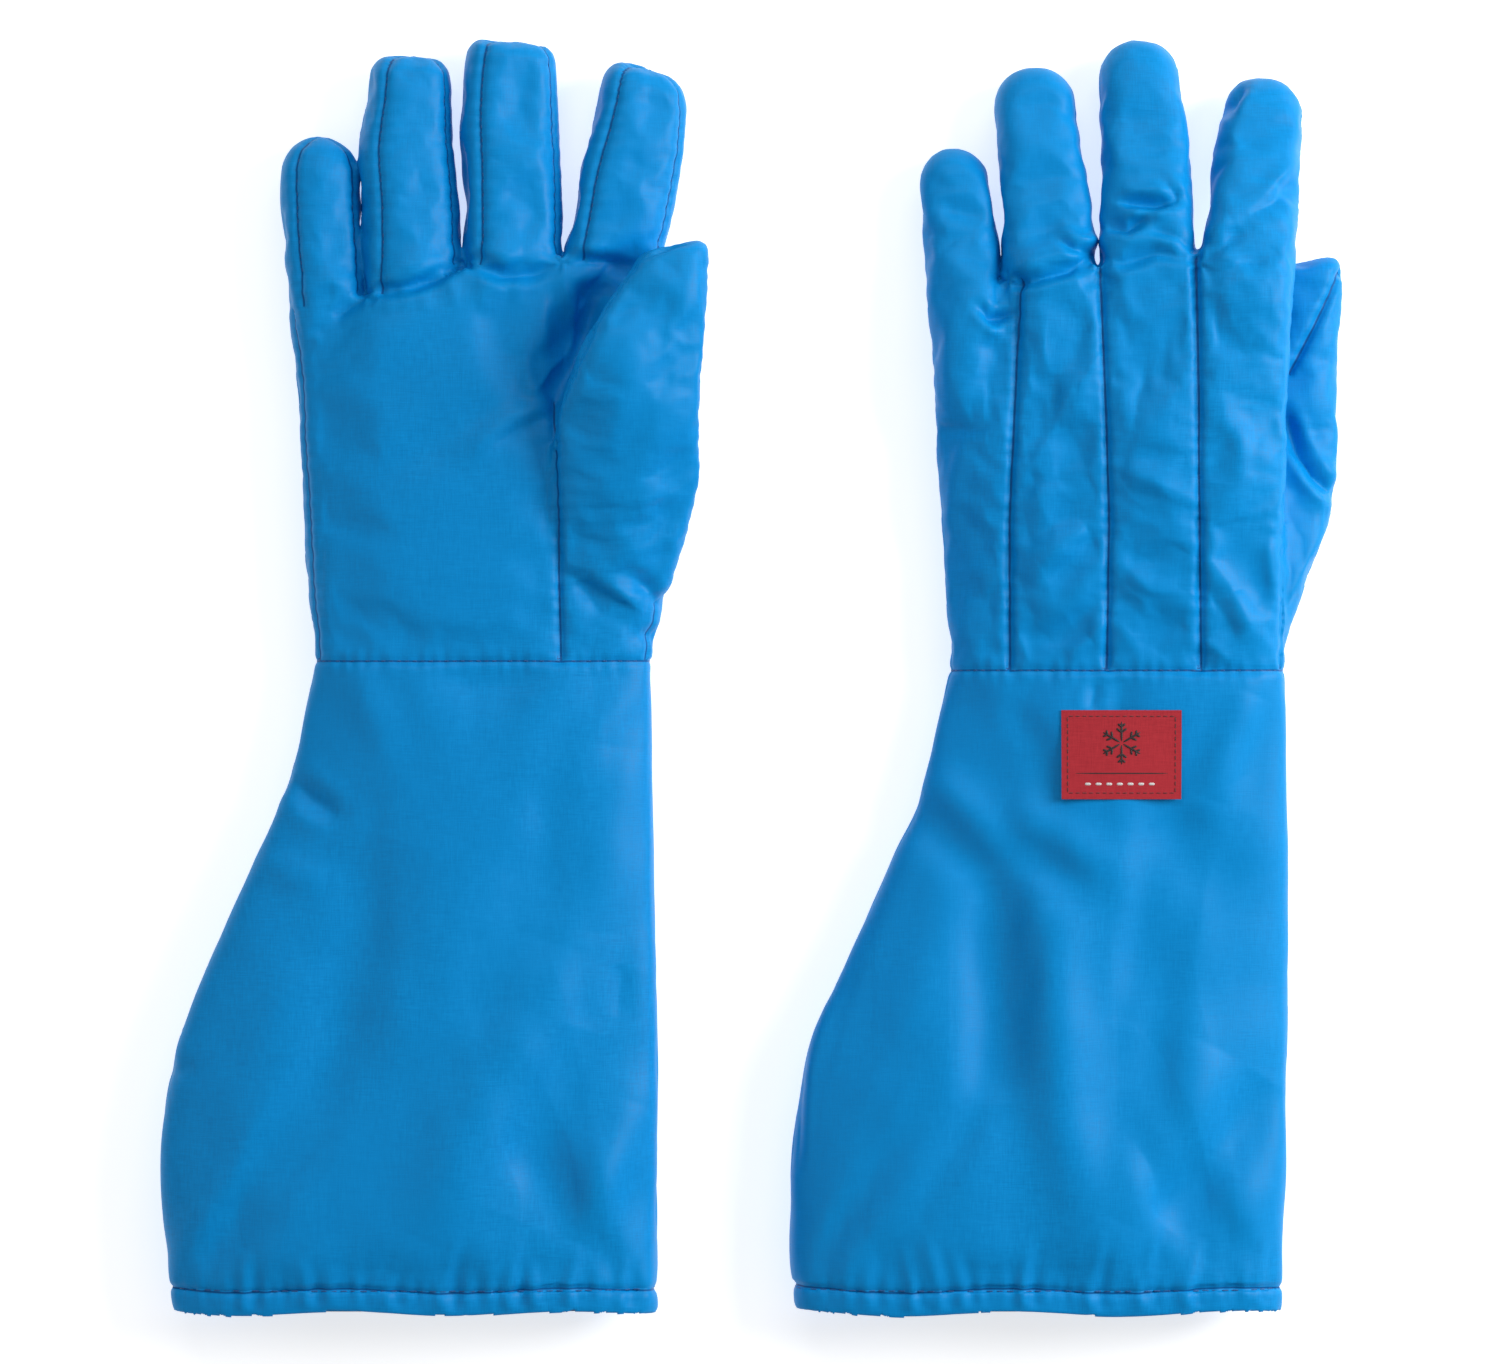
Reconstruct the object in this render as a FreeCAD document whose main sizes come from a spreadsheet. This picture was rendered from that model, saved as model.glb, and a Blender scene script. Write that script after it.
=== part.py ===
"""A pair of elbow-length insulated cryogenic gloves lying flat, as a parametric document.

Frame: +X to the thumb side of both gloves, +Y to the fingertips, +Z up from the table.
The origin is on the table at the middle of the pair. The right-hand glove lies palm up at -X,
the left-hand glove lies palm down at +X. Every length is in millimetres.

Each glove is a set of nested bags: woven shell, waterproof membrane, insulation and lining.
The bags of a glove share one family of tubes, and a layer is the space between two insets of it.
"""
import FreeCAD
import Part
import math
import os

from FreeCAD import Placement, Rotation, Vector
from Sketcher import Constraint

doc = FreeCAD.newDocument("cryogenic_gloves")
dims = doc.addObject("Spreadsheet::Sheet", "dims")

# ---------------------------------------------------------------- driving dimensions
LAYER_DIMS = {
    "shell_thk": 0.8,
    "membrane_thk": 0.4,
    "insulation_thk": 3.2,
    "lining_thk": 0.9,
    "layer_gap": 0.25,
    "joint_gap": 0.3,
    "seam_gap": 0.3,
    "hem_height": 9.5,
    "label_length": 45.0,
    "label_width": 33.5,
    "label_corner": 1.5,
    "label_thk": 0.6,
    "label_drop": 15.0,
    "knuckle_reach": 4.0,
}

# A finger: root and tip centre (x, y, z), then root and tip width, root and tip depth.
FINGERS = {
    "right": {
        "little": ((-161.2, 147.4, 15.4), (-164.3, 202.5, 12.0), (27.4, 25.5), (25.5, 22.0)),
        "ring": ((-128.3, 150.6, 15.5), (-129.6, 234.0, 13.0), (35.6, 31.5), (27.6, 24.0)),
        "middle": ((-90.6, 154.2, 15.6), (-91.6, 240.2, 13.2), (37.0, 33.5), (28.0, 24.5)),
        "index": ((-52.2, 158.0, 15.6), (-39.8, 230.2, 13.2), (36.8, 32.6), (28.0, 24.5)),
    },
    "left": {
        "little": ((79.8, 148.2, 19.2), (76.6, 199.0, 12.0), (26.4, 24.0), (24.8, 21.5)),
        "ring": ((112.4, 150.8, 24.1), (109.9, 230.0, 13.4), (34.2, 30.0), (27.0, 23.5)),
        "middle": ((149.0, 153.6, 29.6), (147.9, 240.5, 14.0), (35.2, 31.0), (27.6, 24.0)),
        "index": ((186.4, 156.4, 35.2), (194.8, 226.2, 14.5), (35.4, 31.0), (27.6, 24.0)),
    },
}

# A tube's stations from its open end up: x, y, z, width, depth, yaw, tilt (degrees), rounding.
# Yaw leans the section's normal towards +X, and tilt raises its -X side.
TUBES = {
    "right": {
        "sleeve": [
            (-128.0, -240.4, 19.75, 183.2, 40.0, 0, 0, 1.0),
            (-128.8, -205.0, 19.55, 186.0, 39.6, 0, 0, 1.0),
            (-129.4, -173.0, 19.25, 188.4, 39.0, 0, 0, 1.0),
            (-124.5, -127.0, 18.9, 179.0, 36.8, 0, 0, 1.0),
            (-115.3, -82.0, 18.2, 157.8, 34.0, 0, 0, 1.0),
            (-106.0, -36.0, 17.6, 137.6, 32.0, 0, 0, 1.0),
            (-102.4, 6.5, 17.4, 128.0, 31.0, 0, 0, 1.0),
        ],
        "hand": [
            (-102.4, 6.5, 17.4, 128.0, 31.0, 0, 0, 1.0),
            (-103.6, 50.0, 17.4, 131.8, 33.0, 0, 0, 1.0),
            (-105.4, 100.0, 17.4, 133.6, 33.4, -3, 0, 1.0),
            (-105.9, 132.0, 16.6, 138.0, 32.0, -5, 0, 1.0),
            (-103.9, 153.0, 15.6, 144.2, 30.2, -5.5, 0, 1.0),
        ],
        "thumb": [
            (-55.5, 18.0, 18.6, 24.0, 20.0, 4, 0, 1.0),
            (-47.0, 62.0, 28.0, 46.0, 30.0, 6, 6, 1.0),
            (-38.8, 116.0, 43.2, 39.0, 27.0, 15, 18, 1.0),
            (-33.8, 134.0, 40.8, 33.0, 25.0, 15, 14, 1.0),
            (-30.0, 147.5, 38.6, 27.4, 23.5, 15, 10, 0.94),
            (-28.2, 154.0, 37.8, 25.4, 22.5, 15, 10, 0.72),
            (-27.7, 156.0, 37.5, 24.4, 21.5, 15, 10, 0.45),
        ],
    },
    "left": {
        "sleeve": [
            (108.4, -240.4, 19.75, 184.4, 40.0, 0, 0, 1.0),
            (108.8, -205.0, 19.55, 186.0, 39.6, 0, 0, 1.0),
            (109.4, -173.0, 19.25, 188.4, 39.0, 0, 0, 1.0),
            (115.9, -127.0, 18.9, 177.6, 36.8, 0, 0, 1.0),
            (126.3, -82.0, 18.8, 157.2, 34.0, 0, -1, 1.0),
            (135.1, -36.0, 19.6, 137.2, 32.0, 0, -3, 1.0),
            (139.4, 3.0, 20.6, 128.0, 31.0, 0, -5, 1.0),
        ],
        "hand": [
            (139.4, 3.0, 20.6, 128.0, 31.0, 0, -5, 1.0),
            (138.0, 50.0, 24.0, 131.8, 33.0, 0, -7, 1.0),
            (136.0, 100.0, 28.0, 134.0, 33.0, -2.5, -8.5, 1.0),
            (135.4, 132.0, 28.0, 136.6, 31.5, -4, -8.5, 1.0),
            (135.2, 152.5, 27.5, 141.0, 30.2, -4.5, -8.5, 1.0),
        ],
        "thumb": [
            (186.0, 18.0, 22.6, 24.0, 18.0, 4, 0, 1.0),
            (195.0, 62.0, 18.6, 45.0, 28.0, 6, 0, 1.0),
            (204.5, 115.0, 11.3, 36.0, 22.0, 15, 0, 1.0),
            (207.6, 132.0, 11.3, 33.0, 22.2, 15, 0, 1.0),
            (211.2, 145.0, 11.2, 27.0, 21.6, 15, 0, 0.94),
            (212.9, 151.0, 11.2, 25.0, 21.0, 15, 0, 0.72),
            (213.4, 153.0, 11.2, 24.0, 20.5, 15, 0, 0.45),
        ],
    },
}

# Seams of the hand: x of the three seams between the back strips, of the back's seam to the
# thumb panel, and of the palm panel's seam to the thumb panel.
SEAMS = {
    "right": {"little_ring": -147.4, "ring_middle": -111.4, "middle_index": -75.6,
              "index_edge": -41.6, "palm_thumb": -73.3},
    "left": {"little_ring": 98.4, "ring_middle": 134.0, "middle_index": 168.6,
             "index_edge": 197.6, "palm_thumb": 167.6},
}

PALM_UP = {"right": True, "left": False}
GLOVES = ("right", "left")
FINGER_NAMES = ("little", "ring", "middle", "index")
DIGIT_NAMES = FINGER_NAMES + ("thumb",)
STATION_KEYS = ("x", "y", "z", "width", "depth")
THUMB_ROOT = 2  # the thumb's station at its joint

# A finger's stations: share of the way from root to tip, and rounding of the section there.
FINGER_STATIONS = ((-0.2, 1.0), (0.13, 1.0), (0.45, 1.0), (0.82, 0.97), (0.94, 0.82), (1.0, 0.45))
ROUNDED_FROM = 0.9  # stations past this share of the way move back with the inset
FAR = 400.0  # larger than the pair, for cutting blocks

# Insets of the layers' faces from the outside of the shell, as expressions on the sheet.
GAP = "dims.layer_gap"
FACE = ["0"]
for thickness in ("shell_thk", "membrane_thk", "insulation_thk", "lining_thk"):
    FACE.append(f"{FACE[-1]} + dims.{thickness}")
    FACE.append(f"{FACE[-1]} + {GAP}")
LAYERS = {"shell": (0, 1), "membrane": (2, 3), "insulation": (4, 5), "lining": (6, 7)}
FACE.append(f"{FACE[-1]} + dims.shell_thk")  # the hem's inner skin lies on face 8 to face 9


# ---------------------------------------------------------------- the sheet
row_of = {}


def put(alias, value):
    """One cell with a plain number and an alias."""
    cell = f"A{len(row_of) + 1}"
    dims.set(cell, f"{value:g}")
    dims.setAlias(cell, alias)
    row_of[alias] = value
    return f"dims.{alias}"


def fill_sheet():
    for alias, value in LAYER_DIMS.items():
        put(alias, value)
    for glove in GLOVES:
        for seam, x in SEAMS[glove].items():
            put(f"{glove}_seam_{seam}", x)
        for finger, (root, tip, widths, depths) in FINGERS[glove].items():
            for end, point, width, depth in (("root", root, widths[0], depths[0]),
                                             ("tip", tip, widths[1], depths[1])):
                for key, value in zip(STATION_KEYS, (*point, width, depth)):
                    put(f"{glove}_{finger}_{end}_{key}", value)
        for tube, stations in TUBES[glove].items():
            for number, station in enumerate(stations):
                for key, value in zip(STATION_KEYS, station):
                    put(f"{glove}_{tube}_{number}_{key}", value)
    doc.recompute()


# ---------------------------------------------------------------- building blocks
def facing(yaw, tilt):
    """Turns a section from the XY plane so that its normal is +Y, leant by yaw and tilt."""
    upright = Rotation(Vector(1, 0, 0), -90)
    return Rotation(Vector(0, 0, 1), -yaw) * Rotation(Vector(0, 1, 0), tilt) * upright


def ellipse(name, centre, half_width, half_depth, rotation):
    section = doc.addObject("Part::Ellipse", name)
    section.Placement = Placement(Vector(0, 0, 0), rotation)
    for axis, value in zip("xyz", centre):
        section.setExpression(f"Placement.Base.{axis}", value)
    section.setExpression("MajorRadius", half_width)
    section.setExpression("MinorRadius", half_depth)
    return section


def slot(name, centre, half_width, half_depth, rotation):
    """A rounded slot: two straight sides and two half-round ends."""
    sketch = doc.addObject("Sketcher::SketchObject", name)
    sketch.Placement = Placement(Vector(0, 0, 0), rotation)
    for axis, value in zip("xyz", centre):
        sketch.setExpression(f"Placement.Base.{axis}", value)
    reach, radius = 50.0, 15.0
    upper, lower = Vector(0, radius, 0), Vector(0, -radius, 0)
    left, right = Vector(-reach, 0, 0), Vector(reach, 0, 0)
    sketch.addGeometry([
        Part.LineSegment(left + lower, right + lower),
        Part.ArcOfCircle(Part.Circle(right, Vector(0, 0, 1), radius), -math.pi / 2, math.pi / 2),
        Part.LineSegment(right + upper, left + upper),
        Part.ArcOfCircle(Part.Circle(left, Vector(0, 0, 1), radius), math.pi / 2, 1.5 * math.pi),
    ], False)
    sketch.addConstraint([
        Constraint("Tangent", 0, 2, 1, 1),
        Constraint("Tangent", 1, 2, 2, 1),
        Constraint("Tangent", 2, 2, 3, 1),
        Constraint("Tangent", 3, 2, 0, 1),
        Constraint("Horizontal", 0),
        Constraint("Equal", 1, 3),
        Constraint("Symmetric", 1, 3, 3, 3, -1, 1),
    ])
    size = sketch.addConstraint(Constraint("Radius", 1, radius))
    span = sketch.addConstraint(Constraint("DistanceX", 3, 3, 1, 3, 2 * reach))
    sketch.setExpression(f"Constraints[{size}]", half_depth)
    sketch.setExpression(f"Constraints[{span}]", f"2 * ({half_width}) - 2 * ({half_depth})")
    return sketch


def loft(name, sections):
    body = doc.addObject("Part::Loft", name)
    body.Sections = sections
    body.Solid = True
    body.Ruled = True
    return body


def finger_tube(glove, finger, face):
    """A finger's tube at one inset, from inside the hand to its rounded tip."""
    root, tip = (Vector(*point) for point in FINGERS[glove][finger][:2])
    along = (tip - root).normalize()
    rotation = facing(math.degrees(math.atan2(along.x, along.y)), 0)
    inset = FACE[face]
    key = f"dims.{glove}_{finger}"
    sections = []
    for number, (share, rounding) in enumerate(FINGER_STATIONS):
        back = f" - ({inset}) * " if share > ROUNDED_FROM else " - 0 * "
        mix = max(share, 0.0)
        centre = [
            f"{key}_root_{axis} + ({key}_tip_{axis} - {key}_root_{axis}) * {way}{back}({lean:.5f})"
            for axis, way, lean in zip("xyz", (share, share, mix), along)
        ]
        half_width, half_depth = (
            f"(({key}_root_{size} + ({key}_tip_{size} - {key}_root_{size}) * {mix}) / 2"
            f" - ({inset})) * {rounding}"
            for size in ("width", "depth")
        )
        sections.append(ellipse(f"{glove}_{finger}_{face}_{number}", centre,
                                half_width, half_depth, rotation))
    return loft(f"{glove}_{finger}_tube_{face}", sections)


def station_tube(glove, tube, face, extra="0"):
    """A sleeve, hand or thumb tube at one inset. A rounded or closed end moves back with the inset."""
    inset = FACE[face] if extra == "0" else f"{FACE[face]} - ({extra})"
    tag = f"{face}" if extra == "0" else f"{face}_out{len(extra)}"
    stations = TUBES[glove][tube]
    sections = []
    for number, station in enumerate(stations):
        yaw, tilt, rounding = station[5:]
        key = f"dims.{glove}_{tube}_{number}"
        lean = {"x": math.sin(math.radians(yaw)), "y": math.cos(math.radians(yaw)), "z": 0.0}
        closed_end = tube != "sleeve" and number >= len(stations) - (2 if tube == "thumb" else 1)
        back = f"({inset})" if closed_end else "0"
        centre = [f"{key}_{axis} - {back} * {lean[axis]:.5f}" for axis in "xyz"]
        half_width, half_depth = (f"({key}_{size} / 2 - ({inset})) * {rounding}"
                                  for size in ("width", "depth"))
        outline = ellipse if tube == "thumb" else slot
        sections.append(outline(f"{glove}_{tube}_{tag}_{number}", centre,
                                half_width, half_depth, facing(yaw, tilt)))
    return loft(f"{glove}_{tube}_tube_{tag}", sections)


def block(name, corner, size, placement=None):
    """A cutting block. Corner and size are expressions in the placement's own frame."""
    box = doc.addObject("Part::Box", name)
    for side, value in zip(("Length", "Width", "Height"), size):
        box.setExpression(side, value)
    place = placement or Placement()
    box.Placement = place
    axes = [place.Rotation.multVec(Vector(*unit)) for unit in ((1, 0, 0), (0, 1, 0), (0, 0, 1))]
    for axis, base in zip("xyz", place.Base):
        terms = [f"{getattr(axes[i], axis):.6f} * ({corner[i]})" for i in range(3)]
        box.setExpression(f"Placement.Base.{axis}", f"{base} + " + " + ".join(terms))
    return box


def fuse(name, shapes):
    joined = doc.addObject("Part::MultiFuse", name)
    joined.Shapes = shapes
    return joined


def common(name, shapes):
    shared = doc.addObject("Part::MultiCommon", name)
    shared.Shapes = shapes
    return shared


def cut(name, base, tool):
    rest = doc.addObject("Part::Cut", name)
    rest.Base = base
    rest.Tool = tool
    return rest


def compound(name, links):
    group = doc.addObject("Part::Compound", name)
    group.Links = links
    return group


parts = {}


def part(name, feature):
    """Keeps a feature as the sub-part of that name."""
    feature.Label = name
    parts[name] = feature
    return feature


# ---------------------------------------------------------------- joints between tubes
def joint_place(glove, digit):
    """Where a digit's joint plane is: the thumb's at its root, the fingers' just past the hand."""
    x, y, z, _, _, yaw = (TUBES[glove]["thumb"][THUMB_ROOT] if digit == "thumb"
                          else TUBES[glove]["hand"][-1])[:6]
    return Placement(Vector(x, y, z), Rotation(Vector(0, 0, 1), -yaw))


def joint_line(digit):
    """How far past its place a digit's joint plane lies."""
    return "0" if digit == "thumb" else "dims.knuckle_reach"


def digit_block(glove, digit, tag=""):
    """Everything of a digit past its joint plane."""
    start = f"{joint_line(digit)} + dims.joint_gap / 2"
    return block(f"{glove}_{digit}_free_block{tag}", (f"{-FAR / 2}", start, f"{-FAR / 2}"),
                 (f"{FAR}",) * 3, joint_place(glove, digit))


def stub_block(glove, digit, tag=""):
    """Everything of a digit before its joint plane, which belongs to the hand."""
    return block(f"{glove}_{digit}_stub_block{tag}",
                 (f"{-FAR / 2}", f"{joint_line(digit)} - {FAR} - dims.joint_gap / 2", f"{-FAR / 2}"),
                 (f"{FAR}",) * 3, joint_place(glove, digit))


# ---------------------------------------------------------------- digits
def digit_tube(glove, digit, face):
    if digit == "thumb":
        return station_tube(glove, "thumb", face)
    return finger_tube(glove, digit, face)


def digit_frame(glove, digit):
    """The digit's own frame at its joint: Y along it, Z to the palm side."""
    if digit == "thumb":
        stations = TUBES[glove]["thumb"]
        root, tip = (Vector(*station[:3]) for station in (stations[THUMB_ROOT], stations[-1]))
        tilt = stations[THUMB_ROOT][6]
    else:
        root, tip = (Vector(*point) for point in FINGERS[glove][digit][:2])
        tilt = 0
    along = (tip - root).normalize()
    yaw = math.degrees(math.atan2(along.x, along.y))
    pitch = math.degrees(math.asin(along.z))
    turn = (Rotation(Vector(0, 0, 1), -yaw) * Rotation(Vector(1, 0, 0), pitch)
            * Rotation(Vector(0, 1, 0), tilt))
    if not PALM_UP[glove]:
        turn = turn * Rotation(Vector(0, 1, 0), 180)
    return Placement(root, turn)


FRONT_SHARE = 0.22  # the palm panel starts this share of the digit's depth above its middle


def build_digit(glove, digit, tubes):
    """Front panel, back panel and liner of one digit, past its joint."""
    name = f"{glove}_{digit}"
    rings = {}
    for layer, (outer, inner) in LAYERS.items():
        ring = cut(f"{name}_{layer}_ring", tubes[digit][outer], tubes[digit][inner])
        rings[layer] = common(f"{name}_{layer}_free", [ring, digit_block(glove, digit, f"_{layer}")])
    depth = (f"dims.{name}_{THUMB_ROOT}_depth" if digit == "thumb" else f"dims.{name}_root_depth")
    frame = digit_frame(glove, digit)
    above, below = (
        block(f"{name}_palm_side_{tag}",
              (f"{-FAR / 2}", f"{-FAR / 2}", f"{depth} * {FRONT_SHARE} {sign} dims.seam_gap / 2"),
              (f"{FAR}",) * 3, frame)
        for tag, sign in (("above", "+"), ("below", "-"))
    )
    part(f"{name}_front_panel", common(f"{name}_front", [rings["shell"], above]))
    part(f"{name}_back_panel", cut(f"{name}_back", rings["shell"], below))
    liner = [rings[layer] for layer in ("membrane", "insulation", "lining")]
    part(f"{name}_liner", compound(f"{name}_liner_bags", liner))


# ---------------------------------------------------------------- hand
def build_hand(glove, tubes, hand_tubes):
    """Membrane, insulation and lining of the hand, and its shell cut into sewn panels."""
    name = f"{glove}_hand"
    wrist = f"dims.{glove}_hand_0_y"
    layers = {}
    for layer, (outer, inner) in LAYERS.items():
        stubs = [common(f"{glove}_{digit}_{layer}_stub",
                        [tubes[digit][outer], stub_block(glove, digit, f"_{layer}")])
                 for digit in DIGIT_NAMES]
        outside = fuse(f"{name}_{layer}_outside", [hand_tubes[outer]] + stubs)
        inside = fuse(f"{name}_{layer}_inside",
                      [hand_tubes[inner]] + [tubes[digit][inner] for digit in DIGIT_NAMES])
        ring = cut(f"{name}_{layer}_ring", outside, inside)
        past_wrist = block(f"{name}_{layer}_block",
                           (f"{-FAR}", f"{wrist} + dims.joint_gap / 2", f"{-FAR}"),
                           (f"{2 * FAR}",) * 3)
        layers[layer] = common(f"{name}_{layer}_trimmed", [ring, past_wrist])
    for layer in ("membrane", "insulation", "lining"):
        part(f"{name}_{layer}", layers[layer])
    build_panels(glove, layers["shell"])


def build_panels(glove, shell):
    """The palm panel, the four strips of the back and the thumb panel of the hand's shell."""
    stations = TUBES[glove]["hand"]
    wrist, middle, end = (Vector(*stations[number][:3]) for number in (0, 2, -1))
    pitch = math.degrees(math.atan2(end.z - wrist.z, end.y - wrist.y))
    turn = Rotation(Vector(1, 0, 0), pitch) * Rotation(Vector(0, 1, 0), stations[2][6])
    flip = 1 if PALM_UP[glove] else -1
    if flip < 0:
        turn = turn * Rotation(Vector(0, 1, 0), 180)
    frame = Placement(middle, turn)
    gap = "dims.seam_gap"

    def slab(tag, low, high, base, top, past=f"{FAR}"):
        """A block between two seams, low and high in x, and two heights towards the palm side."""
        ends = [f"({flip}) * ({seam} - ({middle.x}))" for seam in (low, high)]
        low_end, high_end = ends if flip > 0 else ends[::-1]
        return block(f"{glove}_{tag}_block", (low_end, f"{-FAR}", base),
                     (f"{high_end} - ({low_end})", f"{FAR} + {past}", f"({top}) - ({base})"), frame)

    seam = {key: f"dims.{glove}_seam_{key}" for key in SEAMS[glove]}
    low_x, high_x = f"({middle.x} - {FAR / 2})", f"({middle.x} + {FAR / 2})"
    floor, ceiling = f"{-FAR / 2}", f"{FAR / 2}"
    crotch = f"dims.{glove}_thumb_{THUMB_ROOT}_y - {middle.y}"
    past = {"": f"({crotch} + 8)", "room_": f"({crotch} + 8 + {gap})"}
    zones = {}
    for tag, out in (("", f"{gap} / 2"), ("room_", f"-{gap} / 2")):
        zones[tag] = fuse(f"{glove}_{tag}thumb_zone", [
            slab(f"{tag}thumb_palm", f"{seam['palm_thumb']} + {out}", high_x, out, ceiling, past[tag]),
            slab(f"{tag}thumb_back", f"{seam['index_edge']} + {out}", high_x, floor, "5", past[tag]),
        ])
    part(f"{glove}_thumb_base_panel", common(f"{glove}_thumb_base", [shell, zones[""]]))
    rest = cut(f"{glove}_shell_rest", shell, zones["room_"])
    palm = slab("palm", low_x, high_x, f"{gap} / 2", ceiling)
    part(f"{glove}_palm_panel", common(f"{glove}_palm", [rest, palm]))
    edges = [low_x, seam["little_ring"], seam["ring_middle"], seam["middle_index"], high_x]
    for finger, low, high in zip(FINGER_NAMES, edges, edges[1:]):
        strip = slab(f"{finger}_strip", f"{low} + {gap} / 2", f"{high} - {gap} / 2",
                     floor, f"-{gap} / 2")
        part(f"{glove}_{finger}_back_strip", common(f"{glove}_{finger}_strip", [rest, strip]))


# ---------------------------------------------------------------- sleeve, hem and label
def between(name, low, high):
    """A block between two heights along Y, from the table up: the cloth lies pressed flat on it."""
    return block(name, (f"{-FAR}", low, "0"), (f"{2 * FAR}", f"{high} - ({low})", f"{FAR}"))


def build_sleeve(glove, tubes):
    """The gauntlet's four layers below the wrist seam, with the hem folded over their edges."""
    name = f"{glove}_sleeve"
    mouth, wrist = f"dims.{glove}_sleeve_0_y", f"dims.{glove}_hand_0_y"
    top = f"{wrist} - dims.joint_gap / 2"
    hem_line = f"{mouth} + dims.hem_height"
    fold = f"{mouth} + dims.shell_thk"
    for layer, (outer, inner) in LAYERS.items():
        low = f"{hem_line} + {GAP}" if layer == "shell" else f"{fold} + {GAP}"
        ring = cut(f"{name}_{layer}_ring", tubes[outer], tubes[inner])
        part(f"{name}_{layer}", common(f"{name}_{layer}_trimmed",
                                       [ring, between(f"{name}_{layer}_block", low, top)]))
    wall = cut(f"{glove}_hem_wall", tubes[0], tubes[9])
    pocket = cut(f"{glove}_hem_pocket_wall", tubes[1], tubes[8])
    band = common(f"{glove}_hem_ring", [wall, between(f"{glove}_hem_block", mouth, hem_line)])
    room = common(f"{glove}_hem_room",
                  [pocket, between(f"{glove}_hem_room_block", fold, f"{hem_line} + 5")])
    part(f"{glove}_hem_band", cut(f"{glove}_hem", band, room))


def label_outline(glove, placement):
    """The label's cut outline, a rounded rectangle, as a padded sketch."""
    body = doc.addObject("PartDesign::Body", f"{glove}_label_outline")
    sketch = body.newObject("Sketcher::SketchObject", f"{glove}_label_sketch")
    plane = next(p for p in body.Origin.OriginFeatures if p.Role == "XY_Plane")
    sketch.AttachmentSupport = [(plane, "")]
    sketch.MapMode = "FlatFace"
    length, width, corner = (LAYER_DIMS[f"label_{key}"] for key in ("length", "width", "corner"))
    half_x, half_y = length / 2, width / 2
    lines = [
        ((-half_x + corner, -half_y), (half_x - corner, -half_y)),
        ((half_x, -half_y + corner), (half_x, half_y - corner)),
        ((half_x - corner, half_y), (-half_x + corner, half_y)),
        ((-half_x, half_y - corner), (-half_x, -half_y + corner)),
    ]
    for start, end in lines:
        sketch.addGeometry(Part.LineSegment(Vector(*start, 0), Vector(*end, 0)), False)
    centres = [(half_x - corner, -half_y + corner, 270), (half_x - corner, half_y - corner, 0),
               (-half_x + corner, half_y - corner, 90), (-half_x + corner, -half_y + corner, 180)]
    for x, y, start in centres:
        circle = Part.Circle(Vector(x, y, 0), Vector(0, 0, 1), corner)
        arc = Part.ArcOfCircle(circle, math.radians(start), math.radians(start + 90))
        sketch.addGeometry(arc, False)
    for side in range(4):
        arc, following = 4 + side, (side + 1) % 4
        sketch.addConstraint(Constraint("Tangent", side, 2, arc, 1))
        sketch.addConstraint(Constraint("Tangent", arc, 2, following, 1))
    for side, kind in ((0, "Horizontal"), (1, "Vertical"), (2, "Horizontal"), (3, "Vertical")):
        sketch.addConstraint(Constraint(kind, side))
    for arc in (5, 6, 7):
        sketch.addConstraint(Constraint("Equal", 4, arc))
    sketch.addConstraint(Constraint("Symmetric", 0, 1, 2, 1, -1, 1))
    for number, alias in (
        (sketch.addConstraint(Constraint("Radius", 4, corner)), "label_corner"),
        (sketch.addConstraint(Constraint("DistanceX", 3, 1, 1, 2, length)), "label_length"),
        (sketch.addConstraint(Constraint("DistanceY", 0, 1, 2, 2, width)), "label_width"),
    ):
        sketch.setExpression(f"Constraints[{number}]", f"dims.{alias}")
    pad = body.newObject("PartDesign::Pad", f"{glove}_label_pad")
    pad.Profile = sketch
    pad.Length = LABEL_REACH
    body.Placement = placement
    return body


LABEL_REACH = 30.0  # the outline's pad only has to pass through the sleeve's upper wall


def build_label(glove, tubes):
    """A woven label that follows the sleeve's back, just below the wrist seam."""
    under, over = (station_tube(glove, "sleeve", 0, extra) for extra in
                   (GAP, f"{GAP} + dims.label_thk"))
    skin = cut(f"{glove}_label_skin", over, under)
    wrist = TUBES[glove]["hand"][0]
    drop = LAYER_DIMS["label_drop"] + LAYER_DIMS["label_width"] / 2
    place = Placement(Vector(wrist[0], wrist[1] - drop, wrist[2]), Rotation())
    if PALM_UP[glove]:
        place.Rotation = Rotation(Vector(0, 1, 0), 180)
    outline = label_outline(glove, place)
    part(f"{glove}_label", common(f"{glove}_label_patch", [skin, outline]))


# ---------------------------------------------------------------- the pair
def build_glove(glove):
    faces = [face for pair in LAYERS.values() for face in pair]
    tubes = {digit: {face: digit_tube(glove, digit, face) for face in faces}
             for digit in DIGIT_NAMES}
    for digit in DIGIT_NAMES:
        build_digit(glove, digit, tubes)
    build_hand(glove, tubes, {face: station_tube(glove, "hand", face) for face in faces})
    sleeve_tubes = {face: station_tube(glove, "sleeve", face) for face in (*faces, 8, 9)}
    build_sleeve(glove, sleeve_tubes)
    build_label(glove, sleeve_tubes)


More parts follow.
